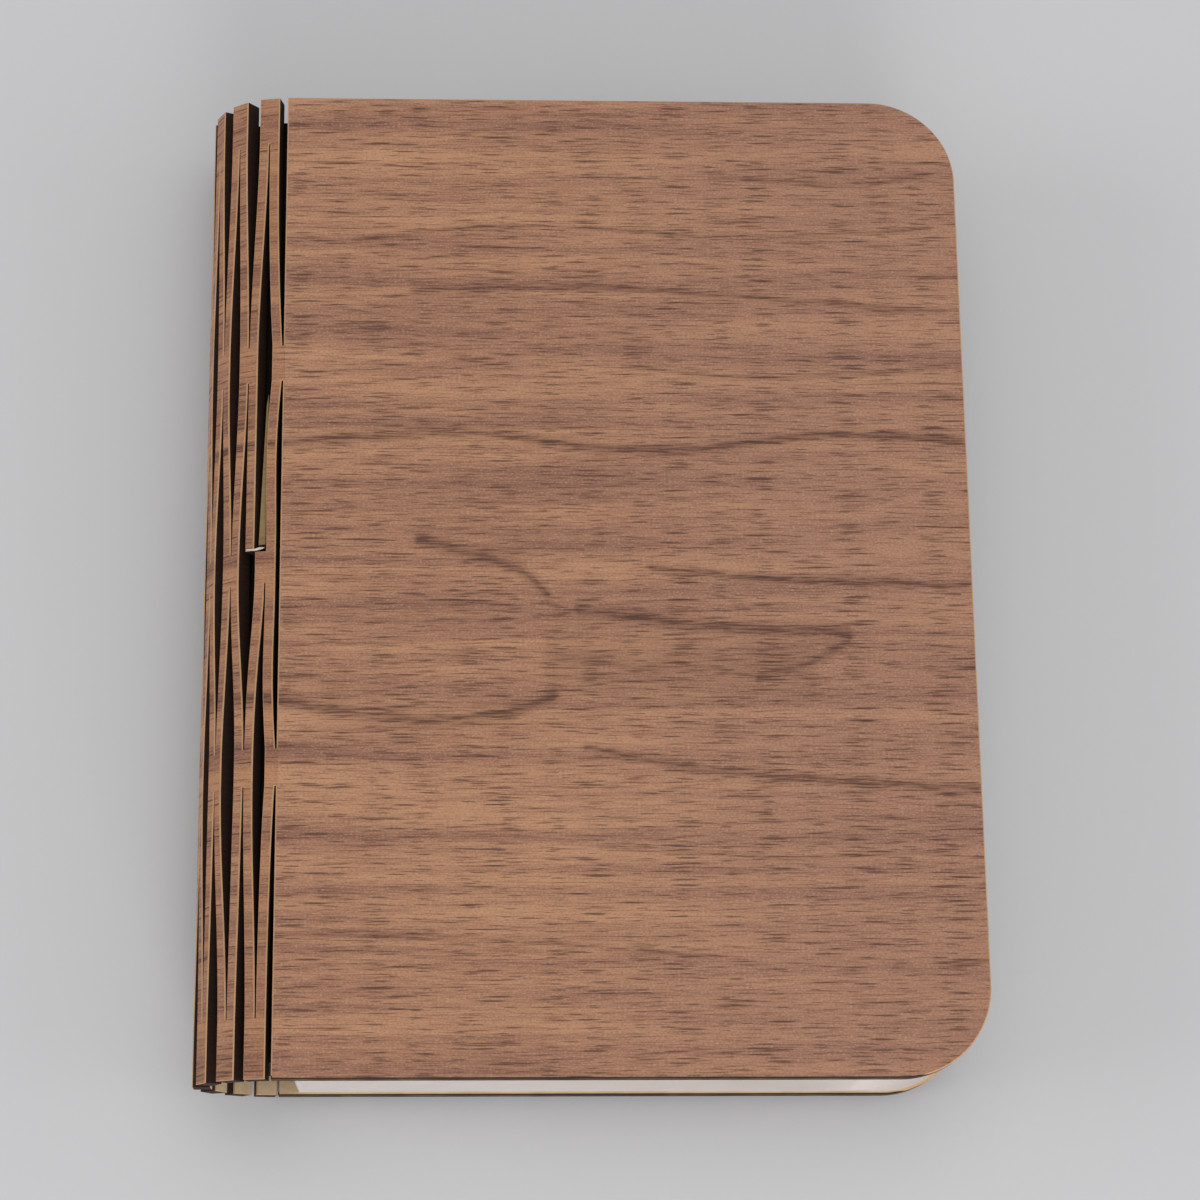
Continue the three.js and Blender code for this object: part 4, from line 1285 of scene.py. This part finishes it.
def handled_material(name, color, roughness, metallic=0.0, grain=0.4, dust=0.1, depth=0.02):
    made, tree, skin = new_material(name, color, roughness, metallic)
    look = {"Color": color, "Grain": grain, "Dust": dust, "Roughness": roughness}
    marks = use_group(tree, HANDLING, Place=object_place(tree), **look)
    fill(tree, skin.inputs["Base Color"], marks["Color"])
    fill(tree, skin.inputs["Roughness"], marks["Roughness"])
    bump(tree, skin, marks["Height"], depth * MM, 0.5)
    return made, skin


BLACK_PLASTIC, black_skin = handled_material(
    "moulded black plastic", linear(25, 19, 17), 0.85, grain=0.25, dust=0.01
)
black_skin.inputs["Specular IOR Level"].default_value = 0.12
WHITE_PLASTIC, _ = handled_material("white carrier plastic", linear(226, 225, 220), 0.5, grain=0.3)
OPAL, opal_skin = handled_material("opal diffuser", linear(236, 234, 226), 0.4, grain=0.6, dust=0.04)
opal_skin.inputs["Subsurface Weight"].default_value = 0.3
opal_skin.inputs["Subsurface Radius"].default_value = (0.002, 0.002, 0.0018)
LIGHT_TAPE, _ = handled_material("light strip tape", linear(228, 226, 214), 0.45, grain=0.3)
PHOSPHOR, _ = handled_material("light chip window", linear(229, 196, 92), 0.35, grain=0.12, dust=0.0)
STEEL, _ = handled_material("plated steel", linear(196, 197, 200), 0.3, 1.0, grain=0.15, dust=0.05)
PAD_FOAM, _ = handled_material("adhesive foam", linear(58, 56, 54), 0.9, grain=0.5, depth=0.1)
CIRCUIT, _ = handled_material("circuit board", linear(24, 92, 58), 0.4, grain=0.35, dust=0.06)
SWITCH_GLASS, _ = handled_material("switch glass", linear(170, 182, 176), 0.15, grain=0.5, dust=0.02)
CELL_FOIL, _ = handled_material("battery foil", linear(176, 180, 186), 0.35, 0.7, grain=1.4, depth=0.06)
LEAD_RED, _ = handled_material("red lead", linear(168, 32, 28), 0.45, grain=0.3)
LEAD_BLACK, _ = handled_material("black lead", linear(28, 28, 28), 0.45, grain=0.3)
print("finishes of the light bar ready")

# %% Finish the measured solids
FINISHES = {
    "front_magnet_lower": STEEL,
    "front_magnet_upper": STEEL,
    "back_magnet_lower": STEEL,
    "back_magnet_upper": STEEL,
    "switch_magnet": STEEL,
    "bar_housing": BLACK_PLASTIC,
    "end_cap_upper": BLACK_PLASTIC,
    "end_cap_lower": BLACK_PLASTIC,
    "led_carrier": WHITE_PLASTIC,
    "led_strip_front": LIGHT_TAPE,
    "led_strip_back": LIGHT_TAPE,
    "led_diffuser": OPAL,
    "carrier_screw_lower": STEEL,
    "carrier_screw_upper": STEEL,
    "bar_mounting_pad": PAD_FOAM,
    "charging_socket": STEEL,
    "charging_board": CIRCUIT,
    "charge_indicator": OPAL,
    "magnetic_switch": SWITCH_GLASS,
    "battery_cell": CELL_FOIL,
    "battery_lead_red": LEAD_RED,
    "battery_lead_black": LEAD_BLACK,
}
for node, stuff in FINISHES.items():
    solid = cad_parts[node]
    solid.data.materials.clear()
    solid.data.materials.append(stuff)
print("finished", len(FINISHES), "measured solids")

# %% [markdown]
# ## Rows of small parts
#
# The light chips repeat along their tapes. A geometry tree sets copies of one small part along
# a line, and makes them real, because copies that are only instances are lost in an export.

# %% Tree for a row


def row_tree(stuff):
    tree, given, result = new_group(
        f"row of {stuff.name}",
        "GeometryNodeTree",
        [
            ("Geometry", "NodeSocketGeometry", None),
            ("Count", "NodeSocketInt", 14),
            ("First", "NodeSocketVector", None),
            ("Step", "NodeSocketVector", None),
        ],
        [("Geometry", "NodeSocketGeometry")],
    )
    line = wire(tree, "GeometryNodeMeshLine", mode="OFFSET")
    fill(tree, line.inputs["Count"], given["Count"])
    fill(tree, line.inputs["Start Location"], given["First"])
    fill(tree, line.inputs["Offset"], given["Step"])
    copies = wire(tree, "GeometryNodeInstanceOnPoints", line.outputs[0])
    fill(tree, copies.inputs["Instance"], given["Geometry"])
    real = wire(tree, "GeometryNodeRealizeInstances", copies.outputs[0])
    dressed = wire(tree, "GeometryNodeSetMaterial", real.outputs[0], None, stuff)
    fill(tree, result["Geometry"], dressed.outputs[0])
    return tree


def pillow(name, size, round_by):
    """A small bevelled block about the origin, standing on its -X side."""
    mesh = bpy.data.meshes.new(name)
    x, y, z = (value / 2 * MM for value in size)
    r = round_by * MM
    points, faces = [], []
    for low_x, inset in ((0, 0), (2 * x - r, 0), (2 * x, r)):
        corners = ((-1, -1), (1, -1), (1, 1), (-1, 1))
        points += [(low_x, sy * (y - inset), sz * (z - inset)) for sy, sz in corners]
    faces.append([3, 2, 1, 0])
    for ring in (0, 4):
        faces += [[ring + i, ring + (i + 1) % 4, ring + 4 + (i + 1) % 4, ring + 4 + i] for i in range(4)]
    faces.append([8, 9, 10, 11])
    mesh.from_pydata(points, [], faces)
    return mesh


LEDS = 14
BAR_HALF = HALF - 3
TAPE_END = BAR_HALF - 1.6 - 2.4 - 4
LED_STEP = 2 * TAPE_END / LEDS
phosphor_row = row_tree(PHOSPHOR)
for side, offset in (("back", -3.9), ("front", 3.9)):
    low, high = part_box(f"led_strip_{side}")
    values = {
        "Count": LEDS,
        "First": (high.x, (-TAPE_END + LED_STEP / 2) * MM, MIDDLE_Z * MM + offset * MM),
        "Step": (0.0, LED_STEP * MM, 0.0),
    }
    windows = grow(f"light_windows_{side}", phosphor_row, values, pillow("window", (0.06, 2.5, 2.0), 0.03))
    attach(windows, "link_4")
    print(windows.name, len(windows.data.polygons), "faces")

# %% [markdown]
# ## Floor, lamps and sky
#
# The book lies on a plain pale floor of one colour. A large soft lamp overhead, smaller ones on
# the left, on the right and in front, and an even pale sky light it, and the falloff of the lamps
# shades the floor. The sky that the camera sees directly is plain pale grey.

# %% Floor
FLOOR = linear(212, 212, 213)
floor_material, floor_tree, floor_skin = new_material("pale floor", FLOOR, 0.9)
floor_skin.inputs["Specular IOR Level"].default_value = 0.1
floor_mesh = bpy.data.meshes.new("floor")
floor_mesh.from_pydata([(-4, -4, 0), (4, -4, 0), (4, 4, 0), (-4, 4, 0)], [], [[0, 1, 2, 3]])
floor_mesh.materials.append(floor_material)
floor = bpy.data.objects.new("floor", floor_mesh)
floor.location = (0, 0, -0.0004)
scene.collection.objects.link(floor)
print("floor ready, with", len(floor_tree.nodes), "nodes in its material")

# %% Lamps and sky


def soft_lamp(name, place, target, size, power):
    data = bpy.data.lights.new(name, "AREA")
    data.shape = "DISK"
    data.size = size
    data.energy = power
    lamp = bpy.data.objects.new(name, data)
    lamp.location = place
    aim = (Vector(target) - Vector(place)).to_track_quat("-Z", "Y")
    lamp.rotation_mode = "QUATERNION"
    lamp.rotation_quaternion = aim
    scene.collection.objects.link(lamp)
    return lamp


soft_lamp("overhead lamp", (0.1, 0.35, 1.4), (0, 0, 0), 1.5, 4.4)
soft_lamp("left lamp", (-1.7, -0.1, 0.8), (0, 0, 0.01), 0.9, 7.5)
soft_lamp("right lamp", (1.3, -0.2, 0.5), (0, 0, 0.01), 0.9, 3.2)
soft_lamp("front lamp", (0.2, -1.8, 0.55), (0, -0.08, 0.013), 1.1, 18.0)
sky = bpy.data.worlds.new("sky")
sky.use_nodes = True
scene.world = sky
backing = sky.node_tree.nodes["Background"]
backing.inputs["Color"].default_value = linear(214, 214, 216)
light_path = sky.node_tree.nodes.new("ShaderNodeLightPath")
camera_ray, through_ray = light_path.outputs["Is Camera Ray"], light_path.outputs["Is Transmission Ray"]
seen = calc(sky.node_tree, "MAXIMUM", camera_ray, through_ray)
seen = calc(sky.node_tree, "MAXIMUM", seen, light_path.outputs["Is Glossy Ray"])
fill(sky.node_tree, backing.inputs["Strength"], mix(sky.node_tree, "FLOAT", seen, 0.66, 1.0))
scene.view_settings.view_transform = "Standard"
print("lamps and sky ready")
